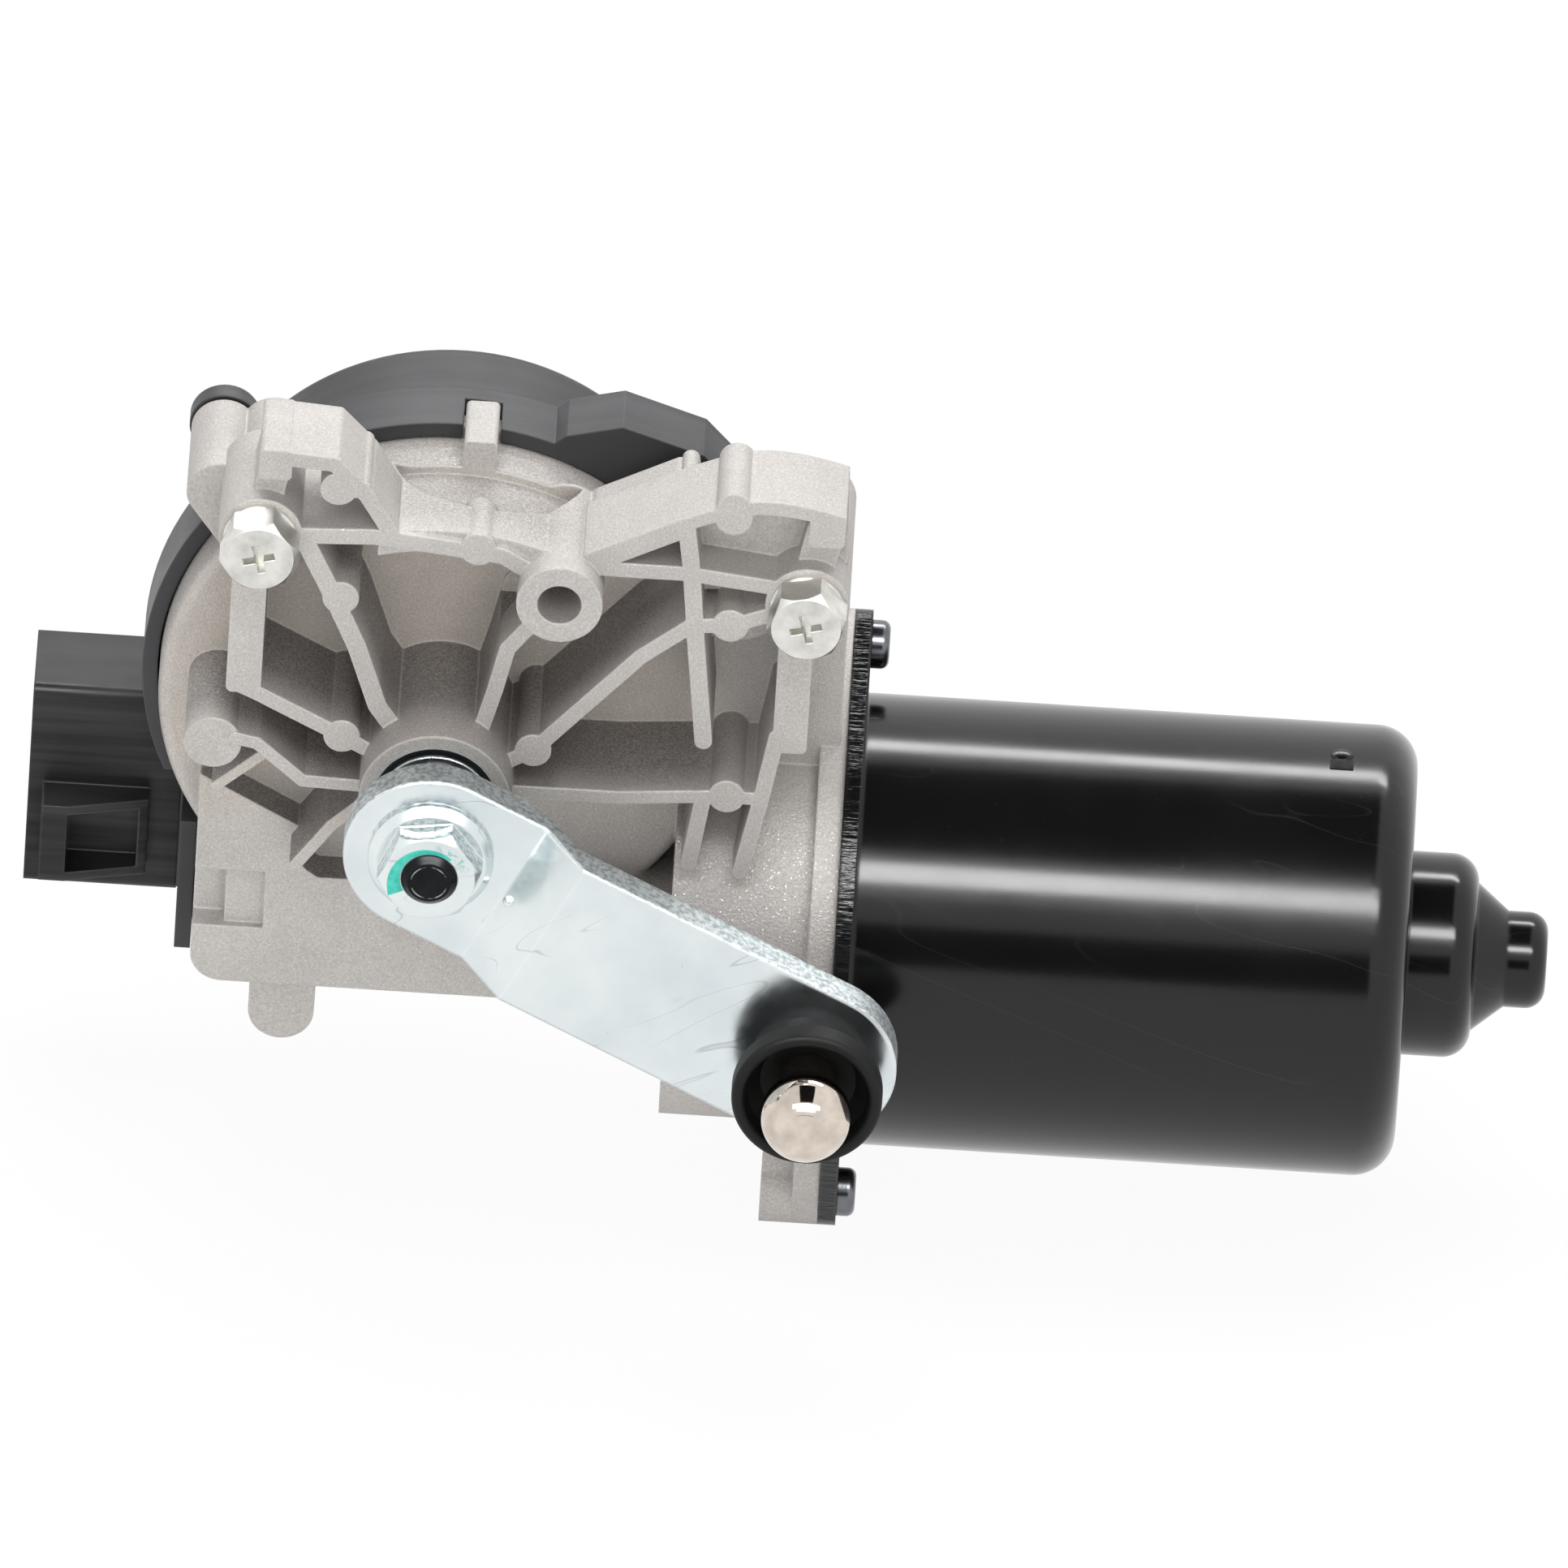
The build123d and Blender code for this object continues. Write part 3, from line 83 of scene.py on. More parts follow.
# Places of the factor, the two colours and the mixed colour among a Mix node's sockets
MIX_FACTOR, MIX_FIRST, MIX_SECOND, MIX_RESULT = 0, 6, 7, 2


def tone(red, green, blue):
    """A linear colour from its sRGB display values out of 255."""
    def linear(value):
        share = value / 255
        return share / 12.92 if share <= 0.04045 else ((share + 0.055) / 1.055) ** 2.4
    return (linear(red), linear(green), linear(blue), 1.0)


class MotorStageSettings(bpy.types.PropertyGroup):
    """Camera, floor and lights."""
    pixels_per_mm: bpy.props.FloatProperty(
        name="Pixels per millimetre", description="Scale of the picture at the motor", default=8.66)
    camera_height: bpy.props.FloatProperty(
        name="Camera height", description="Angle of the camera above the output shaft", subtype="ANGLE",
        default=radians(32.0))
    camera_roll: bpy.props.FloatProperty(
        name="Camera roll", description="Turn of the picture about the line of sight", subtype="ANGLE",
        default=radians(3.6))
    camera_distance: bpy.props.FloatProperty(
        name="Camera distance", description="Distance from the camera to the motor", unit="LENGTH",
        default=10.0)
    key_power: bpy.props.FloatProperty(
        name="Key power", description="Power of the large front lamp in watts", default=2.4)
    strip_power: bpy.props.FloatProperty(
        name="Strip power", default=2.9,
        description="Power of the back strip lamp in watts; the front one has 2.2 times as much")
    soft_power: bpy.props.FloatProperty(
        name="Soft power", default=18.5,
        description="Power of the soft top lamp in watts; the soft front one has half as much")
    world_strength: bpy.props.FloatProperty(
        name="World strength", description="Light from all round", default=0.45)
    floor_shadow: bpy.props.FloatProperty(
        name="Floor shadow", description="How much of the motor's shadow shows on the floor",
        subtype="FACTOR", default=0.06)
    floor_colour: bpy.props.FloatVectorProperty(
        name="Floor colour", description="Colour of the floor", subtype="COLOR", size=4,
        default=(0.9, 0.9, 0.9, 1.0))
    flag_colour: bpy.props.FloatVectorProperty(
        name="Flag colour", description="Colour of the dark flags that gloss reflects", subtype="COLOR",
        size=4, default=(0.012, 0.012, 0.013, 1.0))


class MotorMetalSettings(bpy.types.PropertyGroup):
    """Finishes of the metal pieces."""
    cast_colour: bpy.props.FloatVectorProperty(
        name="Casting", description="Colour of the blasted casting", subtype="COLOR", size=4,
        default=tone(196, 192, 188))
    # Grey for the casting's cloudy patches, and for the painted shade on its deep pocket walls and round the
    # shaft boss
    cast_cloud_and_shade: bpy.props.FloatVectorProperty(
        name="Casting shade", description="Grey tone of the casting's deep walls", subtype="COLOR", size=4,
        default=tone(156, 150, 146))
    # Warm stain of the pocket floors, also lighter than the casting as painted light that brightens the
    # shaded pockets
    cast_stain_and_painted_light: bpy.props.FloatVectorProperty(
        name="Casting stain", description="Warm tone of the pocket floors", subtype="COLOR", size=4,
        default=tone(218, 206, 193))
    cast_grain: bpy.props.FloatProperty(
        name="Casting grain", description="Size of the blasted grain", unit="LENGTH", default=0.38 * MM)
    zinc_colour: bpy.props.FloatVectorProperty(
        name="Zinc", description="Colour of the bright zinc plate", subtype="COLOR", size=4,
        default=tone(234, 240, 240))
    can_colour: bpy.props.FloatVectorProperty(
        name="Can paint", description="Colour of the can's gloss paint", subtype="COLOR", size=4,
        default=tone(12, 12, 13))
    mark_colour: bpy.props.FloatVectorProperty(
        name="Torque mark", description="Colour of the paint mark on the nut", subtype="COLOR", size=4,
        default=tone(38, 178, 160))


class MotorMouldingSettings(bpy.types.PropertyGroup):
    """Finishes of the plastic and rubber pieces."""
    cover_colour: bpy.props.FloatVectorProperty(
        name="Cover", description="Colour of the rear cover", subtype="COLOR", size=4,
        default=tone(52, 52, 54))
    plug_colour: bpy.props.FloatVectorProperty(
        name="Connector", description="Colour of the connector", subtype="COLOR", size=4,
        default=tone(15, 15, 16))
    rubber_colour: bpy.props.FloatVectorProperty(
        name="Rubber", description="Colour of the ball's boot", subtype="COLOR", size=4,
        default=tone(16, 16, 16))


# Shader building blocks


def socket(tree, name, direction, kind, value=None):
    """Adds a named socket to a node group."""
    made = tree.interface.new_socket(name=name, in_out=direction, socket_type=kind)
    if value is not None:
        made.default_value = value


def add_node(tree, kind, values=None, **settings):
    """Adds a shader node with its settings and its sockets' values."""
    made = tree.nodes.new(kind)
    for name, value in settings.items():
        setattr(made, name, value)
    for name, value in (values or {}).items():
        made.inputs[name].default_value = value
    return made


def feed(tree, entry, value):
    """Gives an input its value, which is another node's socket, a number or a colour."""
    if isinstance(value, (int, float, tuple)):
        entry.default_value = value
    else:
        tree.links.new(value, entry)


def math_node(tree, operation, *values, clamp=False):
    """Adds a math node whose values are sockets or numbers."""
    made = add_node(tree, "ShaderNodeMath", operation=operation, use_clamp=clamp)
    for place, value in enumerate(values):
        feed(tree, made.inputs[place], value)
    return made.outputs[0]


def product(tree, first, *others):
    """Multiplies sockets and numbers."""
    for other in others:
        first = math_node(tree, "MULTIPLY", first, other)
    return first


def mix_colour(tree, share, first, second, blend="MIX"):
    """Mixes two colours by a share; each is a socket or a value."""
    made = add_node(tree, "ShaderNodeMix", data_type="RGBA", blend_type=blend)
    for place, value in ((MIX_FACTOR, share), (MIX_FIRST, first), (MIX_SECOND, second)):
        feed(tree, made.inputs[place], value)
    return made.outputs[MIX_RESULT]


def tint(tree, colour, mask, amount, toward):
    """Takes a colour towards another one where a mask shows, by up to an amount."""
    return mix_colour(tree, product(tree, mask, amount), colour, toward)


def ramp(tree, factor, stops):
    """A grey ramp through (place, value) stops."""
    made = tree.nodes.new("ShaderNodeValToRGB")
    tree.links.new(factor, made.inputs[0])
    while len(made.color_ramp.elements) < len(stops):
        made.color_ramp.elements.new(0.5)
    for element, (place, value) in zip(made.color_ramp.elements, stops):
        element.position = place
        element.color = (value, value, value, 1)
    return made.outputs[0]


def share_between(tree, value, start, end):
    """0 where a value is at its start, 1 where it is at its end, and level beyond them."""
    made = add_node(tree, "ShaderNodeMapRange", {"From Min": start, "From Max": end})
    tree.links.new(value, made.inputs["Value"])
    return made.outputs[0]


def split(tree, vector):
    """A vector's X, Y and Z."""
    made = tree.nodes.new("ShaderNodeSeparateXYZ")
    tree.links.new(vector, made.inputs[0])
    return made.outputs


def object_place(tree, scale=(1, 1, 1), turn=(0, 0, 0)):
    """Object coordinates through a mapping node."""
    coordinates = tree.nodes.new("ShaderNodeTexCoord")
    mapping = add_node(tree, "ShaderNodeMapping", {"Scale": scale, "Rotation": turn})
    tree.links.new(coordinates.outputs["Object"], mapping.inputs["Vector"])
    return mapping.outputs[0]


def drawn_place(tree, turn, scale):
    """Object coordinates turned about Y and then stretched, for lines along a slant."""
    stretch = add_node(tree, "ShaderNodeMapping", {"Scale": scale})
    tree.links.new(object_place(tree, turn=(0, turn, 0)), stretch.inputs["Vector"])
    return stretch.outputs[0]


def noise(tree, place, scale, detail=3.0, rough=0.55):
    """A noise texture over a place; its scale is a socket or a number."""
    made = add_node(tree, "ShaderNodeTexNoise", {"Detail": detail, "Roughness": rough})
    tree.links.new(place, made.inputs["Vector"])
    feed(tree, made.inputs["Scale"], scale)
    return made.outputs[0]


def rounded_edges_group():
    """Softens a shape's edges and says where they are. Outputs a normal and an edge mask."""
    tree = bpy.data.node_groups.new("Rounded Edges", "ShaderNodeTree")
    socket(tree, "Radius", "INPUT", "NodeSocketFloat", 0.5 * MM)
    socket(tree, "Strength", "INPUT", "NodeSocketFloat", 4.0)
    socket(tree, "Normal", "OUTPUT", "NodeSocketVector")
    socket(tree, "Edge", "OUTPUT", "NodeSocketFloat")
    entry = tree.nodes.new("NodeGroupInput")
    leave = tree.nodes.new("NodeGroupOutput")
    bevel = add_node(tree, "ShaderNodeBevel", samples=6)
    tree.links.new(entry.outputs["Radius"], bevel.inputs["Radius"])
    surface = tree.nodes.new("ShaderNodeNewGeometry")
    dot = add_node(tree, "ShaderNodeVectorMath", operation="DOT_PRODUCT")
    tree.links.new(bevel.outputs[0], dot.inputs[0])
    tree.links.new(surface.outputs["Normal"], dot.inputs[1])
    bent = math_node(tree, "SUBTRACT", 1.0, dot.outputs["Value"])
    edge = math_node(tree, "MULTIPLY", bent, entry.outputs["Strength"], clamp=True)
    tree.links.new(bevel.outputs[0], leave.inputs["Normal"])
    tree.links.new(edge, leave.inputs["Edge"])
    return tree


def grain_group():
    """Fine blasted grain with larger cloudy patches. Outputs a height, a cloud mask and sparkle."""
    tree = bpy.data.node_groups.new("Blasted Grain", "ShaderNodeTree")
    socket(tree, "Grain Size", "INPUT", "NodeSocketFloat", 0.35 * MM)
    socket(tree, "Height", "OUTPUT", "NodeSocketFloat")
    socket(tree, "Cloud", "OUTPUT", "NodeSocketFloat")
    socket(tree, "Sparkle", "OUTPUT", "NodeSocketFloat")
    entry = tree.nodes.new("NodeGroupInput")
    leave = tree.nodes.new("NodeGroupOutput")
    place = object_place(tree)
    scale = math_node(tree, "DIVIDE", 1.0, entry.outputs["Grain Size"])
    fine = noise(tree, place, scale, 2.0, 0.6)
    cloud = noise(tree, place, 70.0, 5.0, 0.62)
    spots = add_node(tree, "ShaderNodeTexVoronoi", {"Randomness": 1.0})
    tree.links.new(place, spots.inputs["Vector"])
    tree.links.new(product(tree, scale, 0.75), spots.inputs["Scale"])
    shine = ramp(tree, spots.outputs["Distance"], [(0.0, 1.0), (0.24, 0.0)])
    tree.links.new(fine, leave.inputs["Height"])
    tree.links.new(cloud, leave.inputs["Cloud"])
    tree.links.new(shine, leave.inputs["Sparkle"])
    return tree


def scratches_group():
    """Fine scratches along one direction. Outputs a mask."""
    tree = bpy.data.node_groups.new("Fine Scratches", "ShaderNodeTree")
    socket(tree, "Vector", "INPUT", "NodeSocketVector")
    socket(tree, "Scale", "INPUT", "NodeSocketFloat", 30.0)
    socket(tree, "Amount", "INPUT", "NodeSocketFloat", 0.5)
    socket(tree, "Mask", "OUTPUT", "NodeSocketFloat")
    entry = tree.nodes.new("NodeGroupInput")
    leave = tree.nodes.new("NodeGroupOutput")
    place, scale = entry.outputs["Vector"], entry.outputs["Scale"]
    warp = noise(tree, place, scale, 0.0, 0.5)
    line = math_node(tree, "ABSOLUTE", math_node(tree, "SUBTRACT", warp, 0.5))
    thin = ramp(tree, line, [(0.0, 1.0), (0.012, 0.0)])
    gate = noise(tree, place, product(tree, scale, 0.45), 1.0, 0.5)
    here = ramp(tree, gate, [(0.5, 0.0), (0.62, 1.0)])
    tree.links.new(product(tree, thin, here, entry.outputs["Amount"]), leave.inputs["Mask"])
    return tree


# The shared groups that are built, by name
groups = {}


def use_group(tree, name, builder, values):
    """Places a shared group, which is built the first time it is asked for."""
    if name not in groups:
        groups[name] = builder()
    made = tree.nodes.new("ShaderNodeGroup")
    made.node_tree = groups[name]
    for key, value in values.items():
        made.inputs[key].default_value = value
    return made


def start_material(name, metallic, roughness):
    """A new material with only its shader and output."""
    made = bpy.data.materials.new(name)
    made.use_nodes = True
    tree = made.node_tree
    shader = tree.nodes["Principled BSDF"]
    shader.inputs["Metallic"].default_value = metallic
    shader.inputs["Roughness"].default_value = roughness
    return made, tree, shader


def bump(tree, height, strength, distance, normal=None):
    """A bump node over a height, on top of another normal."""
    made = add_node(tree, "ShaderNodeBump", {"Strength": strength, "Distance": distance})
    tree.links.new(height, made.inputs["Height"])
    if normal is not None:
        tree.links.new(normal, made.inputs["Normal"])
    return made.outputs[0]


def connect(tree, shader, colour, roughness, normal):
    """Gives a shader its colour, its roughness and its normal."""
    for name, source in (("Base Color", colour), ("Roughness", roughness), ("Normal", normal)):
        tree.links.new(source, shader.inputs[name])


def paint(names, material):
    """Gives CAD nodes a material."""
    for name in names:
        slots = nodes[name].data.materials
        slots.clear()
        slots.append(material)


def facing_share(tree, low, high):
    """1 where the surface faces the front or the back, 0 on its side walls."""
    surface = tree.nodes.new("ShaderNodeNewGeometry")
    across = split(tree, surface.outputs["True Normal"])["Y"]
    return ramp(tree, math_node(tree, "ABSOLUTE", across), [(low, 0.0), (high, 1.0)])


def polar_place(tree):
    """Radius from the output shaft's axis, in metres, and angle round it, in radians from +X."""
    place = split(tree, object_place(tree, (1.0, 0.0, 1.0)))
    across = product(tree, place["X"], place["X"])
    above = product(tree, place["Z"], place["Z"])
    radius = math_node(tree, "SQRT", math_node(tree, "ADD", across, above))
    return radius, math_node(tree, "ARCTAN2", place["Z"], place["X"])


def between(tree, value, low, high, soft):
    """1 where a value lies between two bounds, with soft ends."""
    rise = share_between(tree, value, low - soft, low + soft)
    fall = share_between(tree, value, high + soft, high - soft)
    return product(tree, rise, fall)


# Finishes


def cast_aluminium(settings):
    """Blasted die casting: bright grainy faces and edges, grey painted shade on the deep walls and round the
    shaft boss, and pocket floors with a warm stain that is also painted lighter as painted light.
    """
    rib_depth, pocket_depth = 0.8 * MM, 7 * MM
    rim_radius, pocket_radius = 44 * MM, 36 * MM
    stained_low, stained_high = -16 * MM, 80 * MM
    hub_inner, hub_outer = 9 * MM, 17 * MM
    bright, shade = tuple(settings.cast_colour), tuple(settings.cast_cloud_and_shade)
    made, tree, shader = start_material("Cast Aluminium", 0.6, 0.5)
    grain = use_group(tree, "Blasted Grain", grain_group, {"Grain Size": settings.cast_grain})
    sparkle = grain.outputs["Sparkle"]
    edges = use_group(tree, "Rounded Edges", rounded_edges_group, {"Radius": 0.6 * MM, "Strength": 5.0})
    place = object_place(tree)
    parts = split(tree, place)
    radius = polar_place(tree)[0]
    depth = share_between(tree, parts["Y"], rib_depth, pocket_depth)
    inner = share_between(tree, radius, rim_radius, pocket_radius)
    stained = between(tree, parts["Z"], stained_low, stained_high, 4 * MM)
    facing = facing_share(tree, 0.35, 0.7)
    side = math_node(tree, "SUBTRACT", 1.0, facing)
    painted_wall_shade = product(tree, depth, side, inner)
    floor = product(tree, depth, facing, inner, stained)
    # Painted shade: the deep pocket walls are greyed where the pockets' own shade falls
    colour = tint(tree, bright, painted_wall_shade, 0.85, shade)
    # Pocket floors: a real warm stain, painted lighter than the casting as painted light in the shaded
    # pockets
    colour = tint(tree, colour, floor, 0.55, tuple(settings.cast_stain_and_painted_light))
    cloud = ramp(tree, grain.outputs["Cloud"], [(0.35, 0.0), (0.7, 1.0)])
    colour = tint(tree, colour, cloud, 0.3, shade)
    # Painted shade: the side faces round the shaft boss are greyed to stand for their darker reflection and
    # shade
    hub = product(tree, between(tree, radius, hub_inner, hub_outer, 1 * MM), side)
    colour = tint(tree, colour, hub, 0.8, shade)
    speck = ramp(tree, grain.outputs["Height"], [(0.36, 0.0), (0.62, 1.0)])
    # Specks are darker on the deep walls: real grain, deepened there as painted shade
    darkest_speck_and_wall_shade = math_node(tree, "SUBTRACT", 0.82, product(tree, painted_wall_shade, 0.28))
    speck = mix_colour(tree, speck, darkest_speck_and_wall_shade, (1.0, 1.0, 1.0, 1.0))
    colour = mix_colour(tree, 1.0, colour, speck, "MULTIPLY")
    stain = ramp(tree, noise(tree, place, 900.0, 4.0, 0.7), [(0.66, 0.0), (0.74, 1.0)])
    colour = tint(tree, colour, product(tree, stain, floor), 0.6, tone(92, 82, 70))
    colour = tint(tree, colour, sparkle, 0.7, tone(252, 250, 247))
    colour = tint(tree, colour, edges.outputs["Edge"], 0.45, tone(240, 237, 233))
    rough = ramp(tree, sparkle, [(0.0, 0.56), (1.0, 0.2)])
    grains = bump(tree, grain.outputs["Height"], 0.8, 0.2 * MM, edges.outputs["Normal"])
    connect(tree, shader, colour, rough, grains)
    tree.links.new(ramp(tree, sparkle, [(0.0, 0.15), (1.0, 0.7)]), shader.inputs["Metallic"])
    return made


def zinc_plate(name, settings, turn, soft, side_rough, smear=None):
    """Bright zinc plate with faint clouds, scratches, tiny stains, bright edges and flecked side walls."""
    made, tree, shader = start_material(name, 1.0, 0.2)
    edges = use_group(tree, "Rounded Edges", rounded_edges_group, {"Radius": soft, "Strength": 5.0})
    place = object_place(tree)
    cloud = ramp(tree, noise(tree, place, 55.0, 5.0), [(0.32, 0.0), (0.7, 1.0)])
    colour = mix_colour(tree, cloud, tuple(settings.zinc_colour), tone(214, 223, 226))
    lines = use_group(tree, "Fine Scratches", scratches_group, {"Scale": 42.0, "Amount": 0.8})
    tree.links.new(drawn_place(tree, turn, (1.2, 7.0, 7.0)), lines.inputs["Vector"])
    colour = tint(tree, colour, lines.outputs["Mask"], 0.5, tone(132, 140, 143))
    dirt = ramp(tree, noise(tree, place, 520.0, 6.0, 0.75), [(0.68, 0.0), (0.74, 1.0)])
    colour = tint(tree, colour, dirt, 0.55, tone(96, 92, 80))
    colour = tint(tree, colour, edges.outputs["Edge"], 0.7, tone(246, 249, 250))
    if smear is not None:
        smear_inner, smear_outer = 4.7 * MM, 5.9 * MM
        smear_start, smear_end = radians(22), radians(78)
        radius, angle = polar_place(tree)
        ring = between(tree, radius, smear_inner, smear_outer, 0.3 * MM)
        sector = between(tree, angle, smear_start, smear_end, radians(9))
        streaks = ramp(tree, noise(tree, place, 1500.0, 3.0), [(0.5, 0.0), (0.58, 1.0)])
        colour = tint(tree, colour, product(tree, ring, sector, streaks), 0.5, smear)
    cut = math_node(tree, "SUBTRACT", 1.0, facing_share(tree, 0.3, 0.6))
    fleck = ramp(tree, noise(tree, place, 1300.0, 3.0), [(0.42, 0.0), (0.64, 0.9)])
    colour = tint(tree, colour, cut, fleck, tone(164, 172, 175))
    rough = ramp(tree, noise(tree, place, 260.0, 4.0), [(0.3, 0.15), (0.7, 0.26)])
    rough = mix_colour(tree, dirt, rough, (0.6, 0.6, 0.6, 1.0))
    rough = mix_colour(tree, cut, rough, (side_rough, side_rough, side_rough, 1.0))
    waves = bump(tree, noise(tree, place, 420.0, 3.0), 0.1, 0.05 * MM, edges.outputs["Normal"])
    connect(tree, shader, colour, rough, waves)
    return made


def can_paint(settings):
    """Gloss black paint with faint waviness, hairline scratches, dust and shear marks on the flange."""
    flange_front, flange_back = can_low.x - 1.0 * MM, can_low.x + 2.4 * MM
    made, tree, shader = start_material("Can Paint", 0.0, 0.16)
    shader.inputs["Specular IOR Level"].default_value = 0.42
    edges = use_group(tree, "Rounded Edges", rounded_edges_group, {"Radius": 0.8 * MM, "Strength": 3.0})
    place = object_place(tree)
    lines = use_group(tree, "Fine Scratches", scratches_group, {"Scale": 22.0, "Amount": 0.8})
    tree.links.new(drawn_place(tree, radians(-20), (0.5, 9.0, 9.0)), lines.inputs["Vector"])
    dust = ramp(tree, noise(tree, place, 2600.0, 2.0, 0.6), [(0.74, 0.0), (0.8, 1.0)])
    colour = tint(tree, tuple(settings.can_colour), lines.outputs["Mask"], 0.16, tone(92, 88, 86))
    colour = tint(tree, colour, dust, 0.25, tone(120, 118, 116))
    rough = ramp(tree, noise(tree, place, 45.0, 5.0), [(0.3, 0.13), (0.7, 0.2)])
    waves = bump(tree, noise(tree, place, 420.0, 2.0), 0.05, 0.05 * MM, edges.outputs["Normal"])
    flange = between(tree, split(tree, place)["X"], flange_front, flange_back, 0.1 * MM)
    sheared = noise(tree, object_place(tree, (0.12, 1.0, 1.0)), 1500.0, 3.0)
    marks = bump(tree, product(tree, sheared, flange), 0.7, 0.25 * MM, waves)
    connect(tree, shader, colour, rough, marks)
    return made


def moulded_plastic(name, colour, streaks):
    """Satin moulded plastic with drag lines, whose direction the streaks' scale gives, and soft scuffs."""
    made, tree, shader = start_material(name, 0.0, 0.42)
    shader.inputs["Specular IOR Level"].default_value = 0.4
    edges = use_group(tree, "Rounded Edges", rounded_edges_group, {"Radius": 0.45 * MM, "Strength": 4.0})
    band = noise(tree, object_place(tree, streaks), 60.0, 4.0, 0.6)
    light = ramp(tree, band, [(0.42, 0.0), (0.75, 1.0)])
    mixed = tint(tree, tuple(colour), light, 0.28, tone(88, 89, 92))
    mixed = tint(tree, mixed, edges.outputs["Edge"], 0.35, tone(104, 105, 108))
    rough = ramp(tree, noise(tree, object_place(tree), 90.0, 4.0), [(0.3, 0.34), (0.7, 0.52)])
    connect(tree, shader, mixed, rough, bump(tree, band, 0.18, 0.12 * MM, edges.outputs["Normal"]))
    return made


def rubber(name, colour):
    """Matte rubber with a fine skin."""
    made, tree, shader = start_material(name, 0.0, 0.6)
    shader.inputs["Specular IOR Level"].default_value = 0.25
    place = object_place(tree)
    dust = ramp(tree, noise(tree, place, 120.0, 5.0), [(0.45, 0.0), (0.8, 1.0)])
    mixed = tint(tree, tuple(colour), dust, 0.08, tone(70, 70, 70))
    rough = ramp(tree, dust, [(0.0, 0.5), (1.0, 0.7)])
    connect(tree, shader, mixed, rough, bump(tree, noise(tree, place, 900.0, 2.0), 0.2, 0.1 * MM))
    return made


def plain_metal(name, colour, roughness, streak=(1.0, 1.0, 1.0), ring=None):
    """Machined or drawn metal with a slight grain, soft edges and a broken bright line at a ring's radius."""
    made, tree, shader = start_material(name, 1.0, roughness)
    edges = use_group(tree, "Rounded Edges", rounded_edges_group, {"Radius": 0.25 * MM, "Strength": 4.0})
    drawn = object_place(tree, streak)
    band = noise(tree, drawn, 300.0, 3.0)
    darker = tuple(0.72 * part for part in colour[:3]) + (1.0,)
    brighter = tuple(min(1.0, 1.25 * part + 0.02) for part in colour[:3]) + (1.0,)
    mixed = mix_colour(tree, ramp(tree, band, [(0.35, 0.0), (0.7, 1.0)]), colour, darker)
    mixed = tint(tree, mixed, edges.outputs["Edge"], 0.6, brighter)
    if ring is not None:
        half_width = 0.08 * MM
        line = between(tree, polar_place(tree)[0], ring - half_width, ring + half_width, 0.05 * MM)
        broken = ramp(tree, noise(tree, drawn, 520.0), [(0.4, 0.0), (0.55, 1.0)])
        mixed = tint(tree, mixed, line, broken, tone(170, 180, 178))
    rough = ramp(tree, band, [(0.3, roughness * 0.8), (0.7, roughness * 1.2)])
    connect(tree, shader, mixed, rough, bump(tree, band, 0.12, 0.06 * MM, edges.outputs["Normal"]))
    return made


def plain_matter(name, colour, roughness, grain_scale):
    """Matte pressed or moulded matter with a speckle."""
    made, tree, shader = start_material(name, 0.0, roughness)
    speck = noise(tree, object_place(tree), grain_scale, 4.0)
    darker = tuple(0.6 * part for part in colour[:3]) + (1.0,)
    mixed = mix_colour(tree, ramp(tree, speck, [(0.35, 0.0), (0.7, 1.0)]), colour, darker)
    rough = ramp(tree, speck, [(0.3, roughness * 0.85), (0.7, roughness * 1.1)])
    connect(tree, shader, mixed, rough, bump(tree, speck, 0.2, 0.1 * MM))
    return made


# Modelling helpers


def deselect():
    """Leaves nothing selected."""
    for piece in bpy.context.selected_objects:
        piece.select_set(False)


def select_only(piece):
    """Leaves one piece selected and active."""
    deselect()
    piece.select_set(True)
    bpy.context.view_layer.objects.active = piece


def settle(piece, name, body, material):
    """Names a finished piece, puts its place into its mesh, gives it its finish and its body."""
    select_only(piece)
    piece.name = name
    piece.data.name = name
    bpy.ops.object.transform_apply(location=True, rotation=True, scale=True)
    bpy.ops.object.shade_smooth_by_angle(angle=SMOOTH_ANGLE)
    piece.data.materials.clear()
    piece.data.materials.append(material)
    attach(piece, body)
    deselect()


def apply_modifiers(piece):
    """Applies all of a piece's modifiers."""
    select_only(piece)
    for modifier in list(piece.modifiers):
        bpy.ops.object.modifier_apply(modifier=modifier.name)


def soften(piece, width):
    """Rounds all edges of a new piece a little, after its other modifiers, and applies them all."""
    soft = piece.modifiers.new("Soft Edge", "BEVEL")
    soft.width = width
    soft.segments = 2
    apply_modifiers(piece)


def select_edges(piece, wanted):
    """Selects, in edit mode, the edges whose two ends both lie in a wanted place."""
    bpy.context.view_layer.objects.active = piece
    bpy.ops.object.mode_set(mode="EDIT")
    bpy.ops.mesh.select_mode(type="EDGE")
    bpy.ops.mesh.select_all(action="DESELECT")
    bpy.ops.object.mode_set(mode="OBJECT")
    for edge in piece.data.edges:
        edge.select = all(wanted(piece.data.vertices[place].co) for place in edge.vertices)
    bpy.ops.object.mode_set(mode="EDIT")


def near(value, target):
    """True where two lengths are the same within the mesh's tolerance."""
    return abs(value - target) < 0.06 * MM


def motor_radius(point):
    """A point's distance from the armature's axis."""
    return Vector((point.y - motor_axis.y, point.z - motor_axis.z)).length


